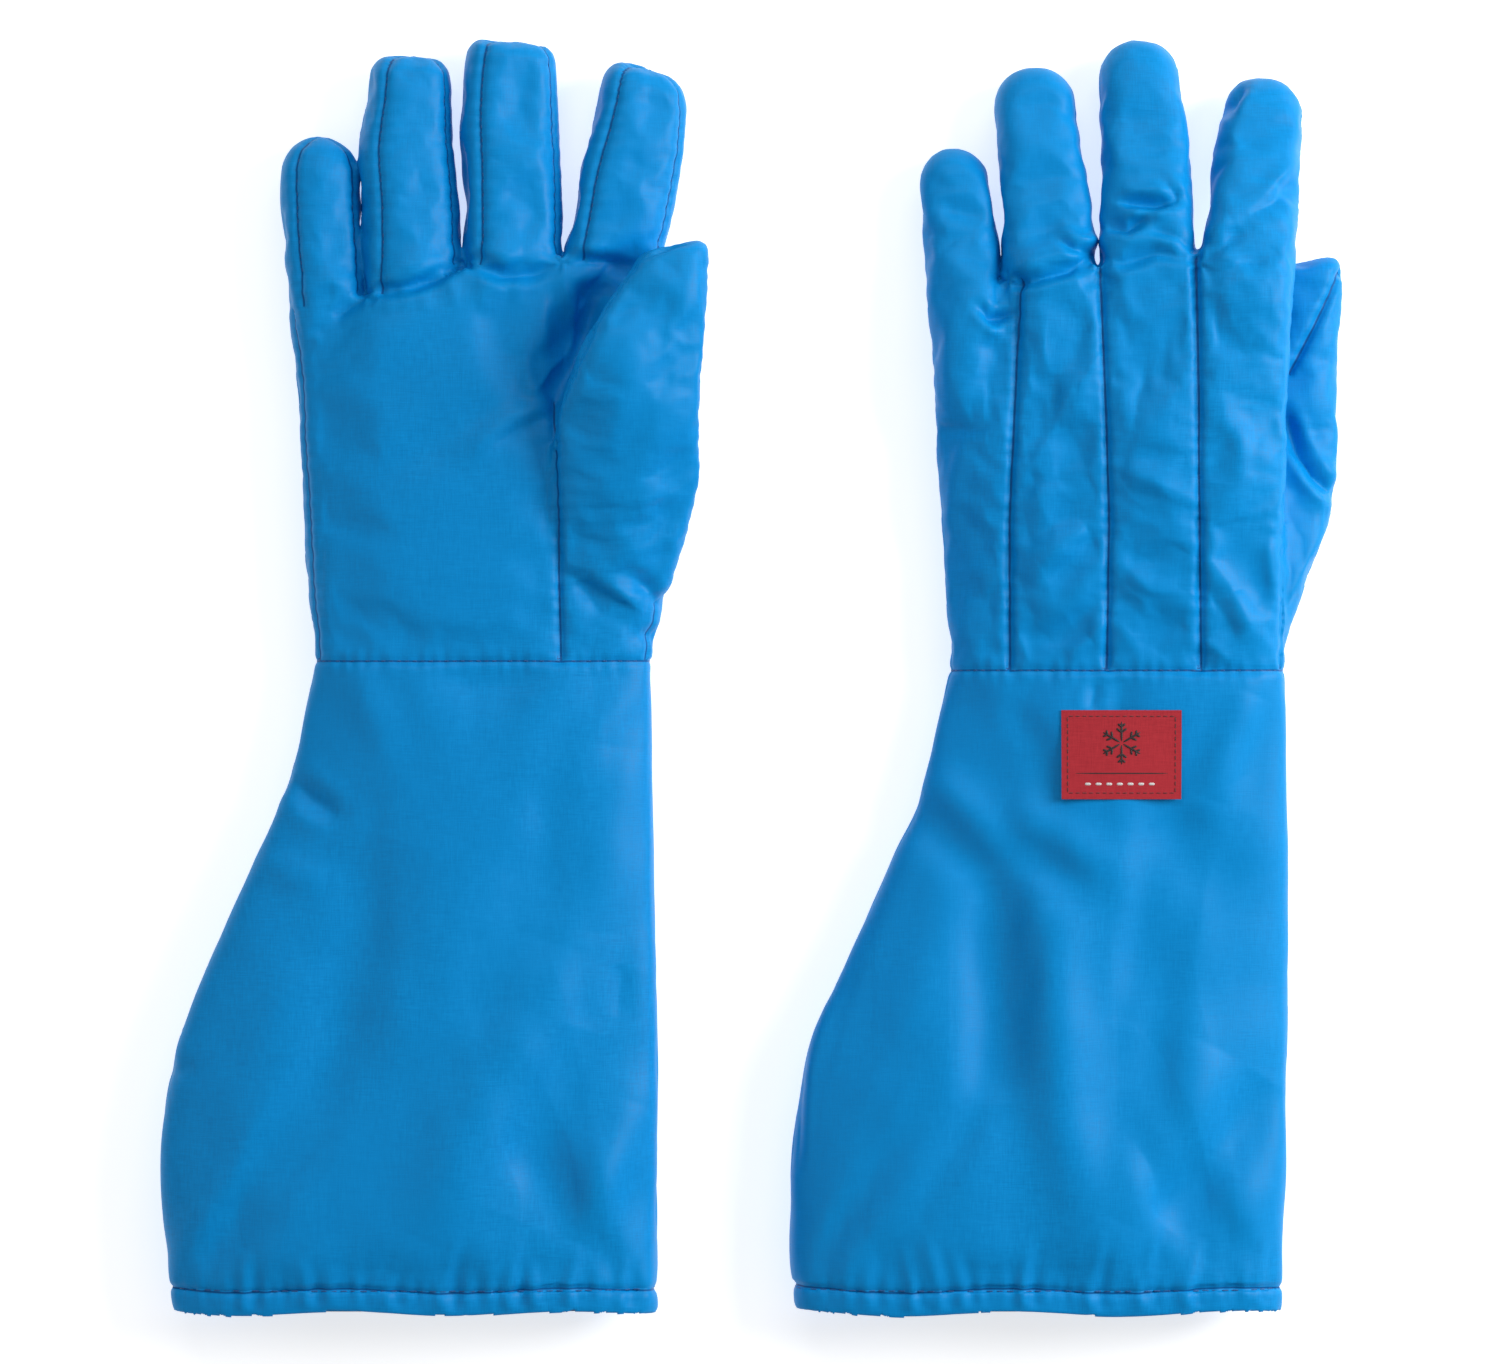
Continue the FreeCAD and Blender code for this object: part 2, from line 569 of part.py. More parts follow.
def check_and_export():
    """Every object has to be sound before any file is written."""
    bad = [o.Name for o in doc.Objects if {"Invalid", "Error"} & set(o.State)]
    bad += [name for name, feature in parts.items()
            if feature.Shape.isNull() or not feature.Shape.isValid() or not feature.Shape.Solids]
    if bad:
        raise SystemExit(f"failed objects: {bad}")
    os.makedirs("parts", exist_ok=True)
    for name, feature in parts.items():
        solids = feature.Shape.Solids
        shape = solids[0] if len(solids) == 1 else Part.makeCompound(solids)
        shape.exportStep(f"parts/{name}.step")
        print(name, len(solids), "solid(s)", round(sum(s.Volume for s in solids)), "mm3")


fill_sheet()
for glove in GLOVES:
    build_glove(glove)
doc.recompute()
check_and_export()
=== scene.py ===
"""Looks of a pair of elbow-length insulated gloves, laid flat on a pale floor.

The right-hand glove lies palm up at -X and the left-hand glove palm down at +X. Each glove is one
padded form, inflated by a cloth simulation between its seams, and then cut into its sewn panels.
Lengths in the tables are in millimetres.
"""
import bpy
import math
import numpy as np
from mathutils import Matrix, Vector, kdtree
from mathutils.bvhtree import BVHTree


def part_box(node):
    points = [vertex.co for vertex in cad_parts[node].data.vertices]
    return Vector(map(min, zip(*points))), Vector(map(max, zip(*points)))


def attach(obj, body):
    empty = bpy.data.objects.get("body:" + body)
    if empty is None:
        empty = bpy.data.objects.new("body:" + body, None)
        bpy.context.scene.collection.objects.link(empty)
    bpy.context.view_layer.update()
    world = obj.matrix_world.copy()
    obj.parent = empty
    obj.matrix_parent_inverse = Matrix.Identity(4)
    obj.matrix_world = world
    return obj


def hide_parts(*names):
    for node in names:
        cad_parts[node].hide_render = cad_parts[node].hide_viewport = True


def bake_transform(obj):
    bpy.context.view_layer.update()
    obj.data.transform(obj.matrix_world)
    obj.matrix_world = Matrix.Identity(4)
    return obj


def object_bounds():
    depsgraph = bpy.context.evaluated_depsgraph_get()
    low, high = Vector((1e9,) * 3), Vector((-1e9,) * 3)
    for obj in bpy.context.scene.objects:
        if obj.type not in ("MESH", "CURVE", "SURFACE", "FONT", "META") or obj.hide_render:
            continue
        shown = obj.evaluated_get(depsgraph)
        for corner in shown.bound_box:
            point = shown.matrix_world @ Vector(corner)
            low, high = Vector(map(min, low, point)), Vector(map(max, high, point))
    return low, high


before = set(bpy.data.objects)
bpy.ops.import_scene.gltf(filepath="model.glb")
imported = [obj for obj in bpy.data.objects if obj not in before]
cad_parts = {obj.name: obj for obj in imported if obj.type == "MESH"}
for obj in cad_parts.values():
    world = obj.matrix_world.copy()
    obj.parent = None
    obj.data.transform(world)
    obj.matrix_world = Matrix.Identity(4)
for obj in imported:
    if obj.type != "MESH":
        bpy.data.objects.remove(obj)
cad_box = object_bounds()
MM = 0.001
FINGERS = ("little", "ring", "middle", "index")
DIGITS = FINGERS + ("thumb",)

# ---------------------------------------------------------------- forms
# Rows of the sleeve and hand: y, left edge, right edge, z, depth, and yaw and tilt where it has them.
# Rows of a digit: x, y, z, width, depth, yaw, tilt. Then its tip's rounding radius.
GLOVES = {
    "right": {
        "palm_up": True, "wrist": 6.5,
        "body": [
            (-240.4, -219.0, -35.8, 19.6, 36.0), (-229, -220.4, -35.6, 19.8, 38.5),
            (-206, -223.6, -35.3, 20.2, 40.0), (-183, -224.8, -35.0, 20.2, 40.0),
            (-160, -222.6, -35.0, 19.8, 39.0), (-138, -218.0, -35.0, 19.4, 38.0),
            (-115, -209.6, -35.5, 19.0, 37.0), (-92, -199.5, -35.8, 18.6, 36.0),
            (-69, -189.2, -36.2, 18.2, 34.6), (-46, -179.0, -36.8, 17.8, 33.4),
            (-23, -171.6, -37.4, 17.4, 32.2), (6.5, -166.4, -37.6, 17.0, 30.6),
            (33, -168.6, -32.6, 17.0, 32.0), (60, -169.8, -31.5, 17.0, 33.0),
            (90, -171.6, -33.0, 17.0, 33.0, -2, 0), (118, -173.4, -35.0, 16.8, 32.0, -4, 0),
            (140, -175.2, -34.0, 16.2, 30.0, -5, 0), (155, -176.4, -32.8, 15.6, 27.0, -5.5, 0),
        ],
        "little": ([(-160.6, 128, 16, 26.6, 23, 0, 6), (-161.6, 148, 15.6, 29.6, 25.5, -2, 8),
                    (-163.4, 166, 15, 30.2, 25.5, -3, 10), (-164.2, 186, 14, 30.2, 25, -2, 10),
                    (-164.3, 205.4, 13, 28.6, 23.5, 0, 8)], 13.6),
        "ring": ([(-128.4, 140, 16.8, 37.4, 26, 0, 6), (-128.6, 158, 16.4, 38.0, 27.5, -1, 9),
                  (-129.8, 180, 15.5, 36.8, 27.5, -2, 12), (-131.4, 203, 14.4, 36.0, 26.5, 0, 13),
                  (-130.2, 222, 13.6, 32.4, 25.5, 1, 13), (-129.8, 236, 13, 30.6, 24.5, 1, 12)], 7.5),
        "middle": ([(-91, 142, 16.8, 37.6, 26, 0, 6), (-90.6, 160, 16.4, 38.2, 27.5, -1, 9),
                    (-91.2, 178, 15.8, 38.4, 28, -1, 12), (-91.6, 196, 15, 38.2, 27.5, -1, 13),
                    (-92.2, 212, 14.2, 38.0, 26.5, 0, 13), (-92.0, 228, 13.6, 36.4, 25.5, 2, 13),
                    (-91.2, 241.4, 13, 33.6, 24.5, 4, 12)], 5.0),
        "index": ([(-55.4, 140, 16.8, 37, 26, 6, 6), (-53, 158, 16.4, 37.6, 27.5, 9, 9),
                   (-50.4, 173, 15.8, 39.0, 28, 11, 11), (-46.8, 192, 15, 39.2, 27.5, 11, 12),
                   (-43.6, 206, 14.4, 37.2, 26.8, 11, 12), (-41.4, 219, 13.8, 34.4, 25.5, 12, 12),
                   (-40.2, 231.6, 13, 31.4, 24.5, 17, 10)], 8.0),
        "thumb": ([(-58, 22, 18, 38, 20, 3, 0), (-54, 40, 21.5, 49, 25, 4, 2),
                   (-50.4, 60, 26, 55.5, 27, 4, 5), (-47.4, 80, 32.4, 57, 26, 6, 8),
                   (-45.6, 98, 39.5, 54.5, 23, 10, 10), (-41.6, 118, 44.4, 48, 21.5, 13, 12),
                   (-36.4, 134, 43.6, 40, 21.5, 13, 12), (-32.2, 147, 42, 33, 22, 8, 10),
                   (-30, 156, 40.8, 29.6, 21.5, -4, 8), (-29, 162.6, 40, 28, 21, -14, 6)], 4.5),
    },
    "left": {
        "palm_up": False, "wrist": 3.0,
        "body": [
            (-240.4, 17.0, 200.8, 19.6, 36.0), (-229, 15.4, 201.5, 19.8, 38.5),
            (-206, 14.8, 202.4, 20.2, 40.0), (-183, 14.7, 203.0, 20.2, 40.0),
            (-160, 17.2, 203.8, 19.8, 39.0), (-138, 21.9, 204.2, 19.4, 38.0),
            (-115, 32.3, 204.4, 19.0, 37.0), (-92, 42.6, 204.4, 18.6, 36.0, 0, -1),
            (-69, 52.8, 204.1, 18.8, 34.6, 0, -2), (-46, 63.2, 203.7, 19.4, 33.4, 0, -3),
            (-23, 69.6, 203.3, 20.0, 32.2, 0, -4), (3, 74.8, 202.8, 20.8, 30.6, 0, -5),
            (29, 74.2, 202.0, 22.6, 32.0, 0, -6), (57, 72.6, 202.0, 24.6, 33.0, 0, -7.5),
            (80, 70.6, 202.4, 26.4, 33.0, -1.5, -8.5), (105, 69.6, 203.0, 27.4, 32.0, -3, -8.5),
            (130, 68.0, 204.4, 27.0, 28.0, -4, -8.5), (150, 66.6, 206.2, 26.6, 21.0, -4.5, -8.5),
        ],
        "little": ([(84, 96, 21, 27, 24, 0, -8), (82.6, 122, 20.6, 28.6, 29, 0, -8),
                    (81.4, 146, 19.4, 30.6, 27.6, -1, -8),
                    (79.0, 172, 16.4, 28.0, 24.5, -4, -5), (77.6, 188, 13.8, 27.4, 23.5, -4, -3),
                    (76.6, 201.0, 12, 26.2, 22, -4, 0)], 12.6),
        "ring": ([(116, 96, 25.4, 35, 26, 0, -8), (114.6, 124, 25.2, 35.4, 31, 0, -8),
                  (113.2, 150, 24.4, 37.0, 29.2, 0, -8), (112.9, 161, 23.0, 37.0, 28.4, -1, -7),
                  (112.4, 173, 21.2, 34.6, 27, -3, -6), (110.9, 190, 18.2, 33.6, 26, -5, -4),
                  (109, 207, 15.6, 32.6, 25, -5, -2), (107.9, 220, 13.8, 31.6, 24, -4, 0),
                  (107.4, 231.5, 12.6, 29.6, 22, -3, 0)], 12.5),
        "middle": ([(151, 96, 29.2, 34, 26, 0, -8), (150.4, 126, 29.6, 35.4, 31, 0, -8),
                    (149.8, 152, 29, 37.0, 29.2, 0, -8), (149.9, 163, 27.4, 37.0, 28.4, 0, -7),
                    (150, 176, 25.2, 35, 27.5, 0, -6), (149.7, 195, 21.2, 34, 26.5, -2, -4),
                    (148.8, 212, 17.8, 32.6, 25.5, -3, -2), (147.8, 228, 14.8, 31.6, 24.5, -2, 0),
                    (147.2, 241.8, 13, 29, 22, -1, 0)], 12.5),
        "index": ([(184.6, 96, 33.4, 33, 25, 0, -8), (185.4, 126, 34.2, 35, 30, 1, -8),
                   (187.2, 152, 34, 37.0, 29, 3, -8), (188.2, 162, 31.8, 36.6, 28.4, 4, -7),
                   (189.8, 175, 28.8, 34.8, 27.5, 5, -6), (191.3, 192, 23.4, 34.6, 26.5, 5, -4),
                   (193.4, 207, 18.8, 32.6, 25.5, 5, -2), (195.2, 218, 15.6, 29.8, 24.5, 5, 0),
                   (195, 227.6, 13.2, 28.6, 22, 4, 0)], 12.0),
        "thumb": ([(186, 6, 21.5, 26, 14, 6, -3), (190.6, 20, 21.0, 33, 17, 6, -3),
                   (195.2, 45, 18.5, 40.6, 22, 8, 0),
                   (199.2, 70, 14.6, 45.6, 23, 8, 0), (203.2, 95, 12, 42, 22, 10, 0),
                   (207, 115, 11.4, 34.5, 21.5, 12, 0), (209.2, 132, 11.2, 31.6, 21.5, 8, 0),
                   (211, 146, 11, 30.6, 21, 0, 0), (212, 158.6, 11, 28.6, 20, -12, 0)], 5.0),
    },
}
# Where a digit's bend starts, as a point on its crotch line and that line's yaw, and its length.
BENDS = {
    "right": {"little": (-161, 148, -6, 34), "ring": (-129, 153.4, -16, 36),
              "middle": (-91, 159.4, -2, 34), "index": (-52, 160.5, 6, 34),
              "thumb": (-45.5, 98, 14, 36)},
    "left": {"little": (80, 150, -8, 34), "ring": (112, 154.5, -6, 36),
             "middle": (149.5, 156.5, 0, 34), "index": (188, 158.0, 3, 34),
             "thumb": (203, 96, 12, 36)},
}
# Seams of the back between its strips, from the wrist to the crotches, and the thumb's seams.
STRIP_SEAMS = {
    "right": [((-146.8, 6.5), (-147.4, 150)), ((-111, 6.5), (-110.9, 160)), ((-75.4, 6.5), (-73, 160)),
              ((-42, 6.5), (-41, 110))],
    "left": [((97.8, 3.0), (97.4, 60), (101.4, 150)), ((134.2, 3.0), (134.6, 60), (131.4, 158)),
             ((169.6, 3.0), (168, 80), (167.2, 158)), ((201.2, 3.0), (202.0, 62), (203.4, 104))],
}
PALM_SEAM = {"right": ((-71.8, 6.5), (-73.0, 60), (-74.6, 104)), "left": ((172, 3.0), (168, 100))}
# Angles round a digit, from its +X side over its front, where the front panel's two seams run.
FRONT_CORNERS = {"right": (38, 131), "left": (34, 146)}
THUMB_CORNERS = {"right": (8, 172), "left": (20, 160)}
SIDE_SEAM = 0.42
THUMB_BACK_SEAM = ((204.5, 116), (214, 134), (224.5, 155))
# Where those two seams start along y, for the +X side and the -X side.
SEAM_STARTS = {
    "right": {"little": (146, 140), "ring": (157, 146), "middle": (157.5, 157), "index": (158, 157.5),
              "thumb": (40, 104)},
    "left": {"little": (150, 140), "ring": (153, 150), "middle": (155, 153), "index": (150, 155),
             "thumb": (60, 60)},
}
CROTCHES = {"right": ((-146.3, 146), (-108.7, 158), (-71.4, 158.6)),
            "left": ((97, 150.5), (130.6, 153.6), (168.4, 156))}
# Where the right glove's palm sinks beside its thumb, how far, and above which height.
THUMB_HOLLOW = ((-50, 151), (-60, 141), (-66, 124), (-73, 107))
HOLLOW_DEPTH, HOLLOW_ABOVE = 15.0, 18
# Soft folds of the upper side: a path, the fold's width and its height, below zero for a crease.
RIGHT_FOLDS = [
    (((-158, 136), (-152, 141), (-147.3, 144.4)), 2.0, -1.5),
    (((-171, 146), (-160, 150), (-150, 148)), 3.6, 0.9),
    (((-144.5, 145.4), (-128, 148.2), (-119, 151.6), (-110.5, 156.6)), 2.2, -2.0),
    (((-142, 152), (-128, 156), (-117, 160)), 4.4, 1.3),
    (((-106.5, 157.2), (-93, 152.4), (-82, 153.2), (-73.5, 156.8)), 2.5, -2.0),
    (((-103, 163), (-91, 160), (-79, 162)), 4.6, 1.4),
    (((-69, 157.4), (-56, 157.4), (-45, 155.6)), 2.6, -2.0),
    (((-66, 163), (-55, 164), (-45, 164)), 4.6, 1.2),
    (((-55, 150), (-62, 137), (-68, 120), (-74.5, 105)), 4.0, -1.6),
    (((-42, 157), (-30, 162), (-22, 163.6)), 1.2, -1.0),
    (((-69.5, 124), (-77, 117), (-81.5, 109), (-77, 103)), 2.6, 1.3),
    (((-71, 150), (-68, 140), (-68, 128), (-71, 118)), 2.8, 1.5),
    (((-75.5, 103.4), (-88, 98.4), (-103, 88), (-108, 86)), 4.2, 1.2),
    (((-76, 99.6), (-88, 93.8), (-97, 87)), 3.0, -0.9),
    (((-160, 66), (-136, 80), (-112, 94), (-96, 104)), 8.0, -1.1),
    (((-151, 119), (-136, 131), (-120, 144)), 8.0, 0.9),
    (((-86, 148), (-84, 135), (-88, 122)), 8.0, 0.8),
    (((-66, 37), (-61, 31), (-56, 23)), 4.2, -1.5),
    (((-54, 37), (-47, 31), (-41, 24)), 3.8, 1.5),
    (((-46, 39), (-39, 34), (-33.5, 26)), 3.0, -1.3),
    (((-33, 14.5), (-42, 17)), 3.0, -1.2),
    (((-19, 77), (-30, 70), (-44, 66)), 4.0, 0.9),
    (((-31, 134), (-39, 101), (-58, 70)), 6.5, -0.8),
    (((-74, -100), (-84, -130), (-102, -165), (-124, -211)), 14, 3.0),
    (((-64, -132), (-78, -172), (-92, -202)), 12, -2.4),
    (((-45, -160), (-56, -190), (-65, -213)), 8, 2.2),
    (((-50, -26), (-54, -60), (-58, -96)), 10, 1.8),
    (((-49, -108), (-50, -128)), 4, -0.7),
    (((-175, -38), (-166, -46), (-156, -52)), 4.0, -1.9),
    (((-186, -68), (-172, -74), (-160, -76)), 6, 0.9),
    (((-222, -150), (-210, -146)), 4, -1.0),
    (((-136, -60), (-152, -110), (-158, -180)), 20, -2.2),
]
LEFT_FOLDS = [
    (((97, 147.8), (110, 151.2), (121, 154.6), (131, 160.5)), 2.2, -2.5),
    (((99, 154), (110, 158.6), (120, 160.8)), 4.2, 1.6),
    (((116, 165.4), (122, 161.6), (131, 161.4)), 1.7, -1.7),
    (((119, 167.6), (126, 165.4), (131, 166)), 2.4, 1.2),
    (((100, 166), (112, 169), (124, 173)), 5.0, -0.9),
    (((138, 180.2), (152.5, 178.8), (161.5, 180.6)), 1.9, -2.3),
    (((140, 184.6), (152, 184.2), (160, 185.6)), 3.0, 1.1),
    (((162, 180.4), (155.5, 187)), 1.8, -1.2),
    (((143, 174.6), (152, 174), (159, 175)), 2.8, 1.2),
    (((133.5, 170.6), (141.5, 169.4), (149.5, 174.0)), 2.0, -2.2),
    (((133, 158.5), (140, 156.6), (152, 160.5), (166.5, 158.6)), 2.4, -1.5),
    (((138, 163), (150, 165.6), (163, 163.6)), 4.0, 1.1),
    (((151, 168.5), (160, 166), (167.5, 160.5)), 2.2, -1.2),
    (((180.6, 215), (183, 220), (187, 225.4)), 2.0, -2.4),
    (((170, 158), (178, 163), (184, 169)), 3.6, -1.3),
    (((174.5, 151), (184, 156), (194, 157)), 3.2, -1.1),
    (((171, 166), (180, 173)), 3.0, 0.9),
    (((187, 174), (197, 179), (206, 189)), 3.2, -1.3),
    (((194, 184), (201, 190), (206, 196)), 2.6, 0.8),
    (((85.5, 140.6), (91, 135.4), (98.6, 137.6)), 1.9, -2.1),
    (((88, 131), (95, 130)), 3.0, 1.0),
    (((72, 178), (80, 176), (87, 172)), 4.5, -0.7),
    (((104, 77), (113, 92), (124, 116)), 5.0, 1.1),
    (((101, 70), (110, 76)), 3.0, -0.7),
    (((109, 43), (117, 50), (126, 57)), 4.6, 1.1),
    (((112, 36), (124, 47), (133.4, 56)), 3.6, -0.9),
    (((119, 8), (127, 14), (133.4, 22)), 3.8, 1.1),
    (((120, 21), (128, 26), (133.6, 32)), 3.6, -0.6),
    (((136, 80), (150, 74), (166, 67)), 4.4, 1.1),
    (((136, 46), (150, 33), (168, 31.6)), 4.4, 1.2),
    (((136, 33), (148, 22), (160, 19)), 5.0, -0.8),
    (((170, 48), (179, 36), (188, 18)), 4.6, 1.4),
    (((171, 33), (178, 24), (183, 14)), 3.4, -0.9),
    (((170.6, 15), (180, 6.6)), 3.2, 1.0),
    (((180, 93), (189, 85), (199, 73)), 6.0, 1.0),
    (((194, 52), (197, 30)), 3.4, 0.8),
    (((80, 60), (86, 42), (88, 24)), 6.0, 0.8),
    (((202.5, 100.6), (207.4, 87), (213.6, 77), (221.5, 69.6)), 2.5, -3.2),
    (((206, 79), (213, 69.5), (219, 64.5)), 3.2, 1.0),
    (((67, -37), (82, -50), (97, -67)), 7.0, 1.7),
    (((62, -48), (78, -66), (96, -84)), 8.0, -1.5),
    (((96, -48), (114, -58), (134, -72)), 7.5, 1.7),
    (((98, -62), (116, -74), (128, -84)), 7.5, -1.2),
    (((88, -76), (90, -115), (95, -160)), 12, -3.0),
    (((114, -84), (115, -125), (118, -165), (128, -214)), 11, 3.2),
    (((160, -50), (168, -66), (180, -84)), 12, -2.2),
    (((189, -6), (181, -26), (174, -46)), 7, 1.9),
    (((196, -152), (178, -180), (156, -206)), 10, -2.9),
    (((172, -138), (156, -170), (138, -204)), 12, 2.2),
    (((130, -2), (128, -12)), 2.4, -0.9),
    (((22, -110), (18.4, -150), (17, -185)), 2.0, -1.2),
    (((44, -84), (30, -120), (22.4, -150)), 2.6, 0.8),
]
FOLDS = {"right": RIGHT_FOLDS, "left": LEFT_FOLDS}
# Where the hem's stitching gathers the cloth into a pucker: x, lean of the pucker in x, and its length.
PUCKERS = {
    "right": ((-192, 2, 16), (-167.6, -2, 13), (-137, 3, 12), (-116, 6, 24), (-91.6, 5, 20), (-82, -3, 14),
              (-68.8, 4, 18), (-50, 3, 12)),
    "left": ((59.7, -3, 18), (70.3, -5, 22), (79.4, -4, 16), (102, 3, 20), (128, 4, 24), (147.8, 6, 28),
             (164.5, 5, 20), (190.4, 4, 22)),
}
HEM = 9.5
MOUTH = -240.4
# Where the body ends and the fingers part: x and y along the crotch line.
BODY_END = {"right": ((-177, 143.5), (-147, 144.5), (-136, 149), (-112, 156), (-33, 156.5)),
            "left": ((66, 147.5), (97, 151), (130.6, 158), (168.4, 158), (207, 157))}
BEND_FROM = 120         # y from which the body is stretched towards that line
VOXEL = 1.75            # grain of the form's mesh
SHRINK = 1.1            # how far inside its tube the form's skin starts
DIGIT_SHRINK = 1.75     # the same for fingers, which keeps the gaps between them open
CLOTH_FRAMES = 14
MOST_SWELL = 2.4        # the furthest that the simulation moves the cloth
FLOOR_GAP = 0.4         # the lowest that the padded form lies above the floor
LEAST_HEIGHT = 0.35     # the same once its folds are in
FOLD_GAIN = 1.25        # how much taller than its table says a crisp fold is
CRISP_BELOW = 5.5       # the width under which a fold is crisp
HEM_THICK = 4.6
BODY_POWER = 3.0        # how square the body's sections are
LINING_DEPTH = 5.2      # how far inside the cloth the lining runs
# Nodes whose solids a piece of cloth stands for, where that is not just its own panel.
REPLACED = {
    "sleeve": ("sleeve_shell", "sleeve_membrane", "sleeve_insulation"),
    "hem": ("hem_band",),
    "palm_panel": ("palm_panel", "hand_membrane", "hand_insulation", "hand_lining"),
}


def front_corners(glove, digit):
    """The angles of the front panel's two seams."""
    return THUMB_CORNERS[glove] if digit == "thumb" else FRONT_CORNERS[glove]


def curve_rows(rows, step):
    """Rows on a smooth curve through the given ones, about a step apart along y."""
    rows = np.array(rows, float)
    key = rows[:, 1]
    span = np.concatenate([[0], np.cumsum(np.maximum(np.abs(np.diff(key)), 1e-6))])
    slope = np.gradient(rows, span, axis=0)
    at = np.linspace(0, span[-1], max(4, int(span[-1] / step)))
    cell = np.clip(np.searchsorted(span, at, side="right") - 1, 0, len(span) - 2)
    width = (span[cell + 1] - span[cell])[:, None]
    t = (at[:, None] - span[cell][:, None]) / width
    p0, p1, m0, m1 = rows[cell], rows[cell + 1], slope[cell] * width, slope[cell + 1] * width
    return ((2 * t**3 - 3 * t**2 + 1) * p0 + (t**3 - 2 * t**2 + t) * m0
            + (-2 * t**3 + 3 * t**2) * p1 + (t**3 - t**2) * m1)


def tube_faces(base, rings, count):
    """Quads between rings of count points, numbered from base, and a face over each end."""
    faces = [(base + i * count + k, base + i * count + (k + 1) % count,
              base + (i + 1) * count + (k + 1) % count, base + (i + 1) * count + k)
             for i in range(rings - 1) for k in range(count)]
    faces.append(tuple(base + k for k in reversed(range(count))))
    faces.append(tuple(base + (rings - 1) * count + k for k in range(count)))
    return faces


class Tube:
    """A closed padded tube: rings of points along a curve, each in its own section frame."""

    def __init__(self, rows, tip, power, shrink):
        rows = curve_rows(rows, 3.0)
        if tip:
            keep = rows[-1, 1] - rows[:, 1] > tip
            last, end = rows[keep], rows[-1]
            turn = np.radians([12, 26, 40, 54, 68, 80, 90])
            share = (end[1] - tip * (1 - np.sin(turn)) - last[-1, 1]) / (end[1] - last[-1, 1])
            caps = last[-1] + (end - last[-1]) * share[:, None]
            inset = 1 - np.cos(turn)
            caps[:, 3] -= 2 * tip * inset * 0.96
            caps[:, 4] -= 2 * (caps[:, 4] / 2 - 2.5) * inset
            rows = np.vstack([last, caps])
        self.centre = rows[:, :3]
        self.half = np.maximum(rows[:, 3:5] / 2 - shrink, 0.6)
        yaw, tilt = np.radians(rows[:, 5]), np.radians(rows[:, 6])
        zero = np.zeros(len(rows))
        self.across = np.stack([np.cos(tilt) * np.cos(yaw), -np.cos(tilt) * np.sin(yaw), -np.sin(tilt)], 1)
        self.along = np.stack([np.sin(yaw), np.cos(yaw), zero], 1)
        self.up = np.cross(self.across, self.along)
        angle = np.linspace(0, 2 * math.pi, 72, endpoint=False)
        c, s = np.cos(angle), np.sin(angle)
        u = (np.sign(c) * np.abs(c) ** (2 / power))[None, :, None]
        w = (np.sign(s) * np.abs(s) ** (2 / power))[None, :, None]
        self.points = (self.centre[:, None] + u * (self.half[:, :1, None] * self.across[:, None])
                       + w * (self.half[:, 1:, None] * self.up[:, None]))

    def mesh(self):
        rings, count = self.points.shape[:2]
        return self.points.reshape(-1, 3) * MM, tube_faces(0, rings, count)

    def spoke(self, i, turn):
        """From the middle of section i towards its rim, at an angle round it."""
        return (math.cos(turn) * self.half[i, 0] * self.across[i]
                + math.sin(turn) * self.half[i, 1] * self.up[i])


def new_object(name, verts, faces):
    mesh = bpy.data.meshes.new(name)
    mesh.from_pydata([tuple(v) for v in verts], [], faces)
    mesh.update()
    obj = bpy.data.objects.new(name, mesh)
    bpy.context.collection.objects.link(obj)
    return obj


def read(items, name, width=None, kind=np.float64):
    """One value of every item of a mesh, as rows of that width, or as a plain list."""
    out = np.empty(len(items) * (width or 1), kind)
    items.foreach_get(name, out)
    return out.reshape(-1, width) if width else out


def coords(mesh):
    return read(mesh.vertices, "co", 3)


def normals(mesh):
    return read(mesh.vertex_normals, "vector", 3)


def set_coords(mesh, co):
    mesh.vertices.foreach_set("co", co.reshape(-1))
    mesh.update()


def applied(obj):
    """Applies obj's modifiers to its mesh."""
    deps = bpy.context.evaluated_depsgraph_get()
    mesh = bpy.data.meshes.new_from_object(obj.evaluated_get(deps))
    old = obj.data
    obj.modifiers.clear()
    obj.data = mesh
    bpy.data.meshes.remove(old)


def neighbours(mesh):
    return read(mesh.edges, "vertices", 2, np.int64)


def blur(values, edges, times, count):
    """Averages a value with its neighbours' some times."""
    degree = np.bincount(edges.ravel(), minlength=count).astype(float)
    degree[degree == 0] = 1
    shape = values.shape
    values = values.reshape(count, -1)
    for _ in range(times):
        total = np.zeros_like(values)
        np.add.at(total, edges[:, 0], values[edges[:, 1]])
        np.add.at(total, edges[:, 1], values[edges[:, 0]])
        values = 0.5 * values + 0.5 * total / degree[:, None]
    return values.reshape(shape)


def path_distance(xy, path):
    """Distance from points to a line of points, and the share of the way along it."""
    path = np.array(path, float)
    best = np.full(len(xy), 1e9)
    share = np.zeros(len(xy))
    lengths = np.linalg.norm(np.diff(path, axis=0), axis=1)
    total, start = lengths.sum(), 0.0
    for a, b, length in zip(path, path[1:], lengths):
        t = np.clip(((xy - a) @ (b - a)) / length**2, 0, 1)
        d = np.linalg.norm(xy - a - t[:, None] * (b - a), axis=1)
        closer = d < best
        best[closer] = d[closer]
        share[closer] = ((start + t * length) / total)[closer]
        start += length
    return best, share


def seam_x(path, y):
    """A seam's x at each y."""
    return np.interp(y, [point[1] for point in path], [point[0] for point in path])


def smoothstep(x):
    x = np.clip(x, 0, 1)
    return x * x * (3 - 2 * x)


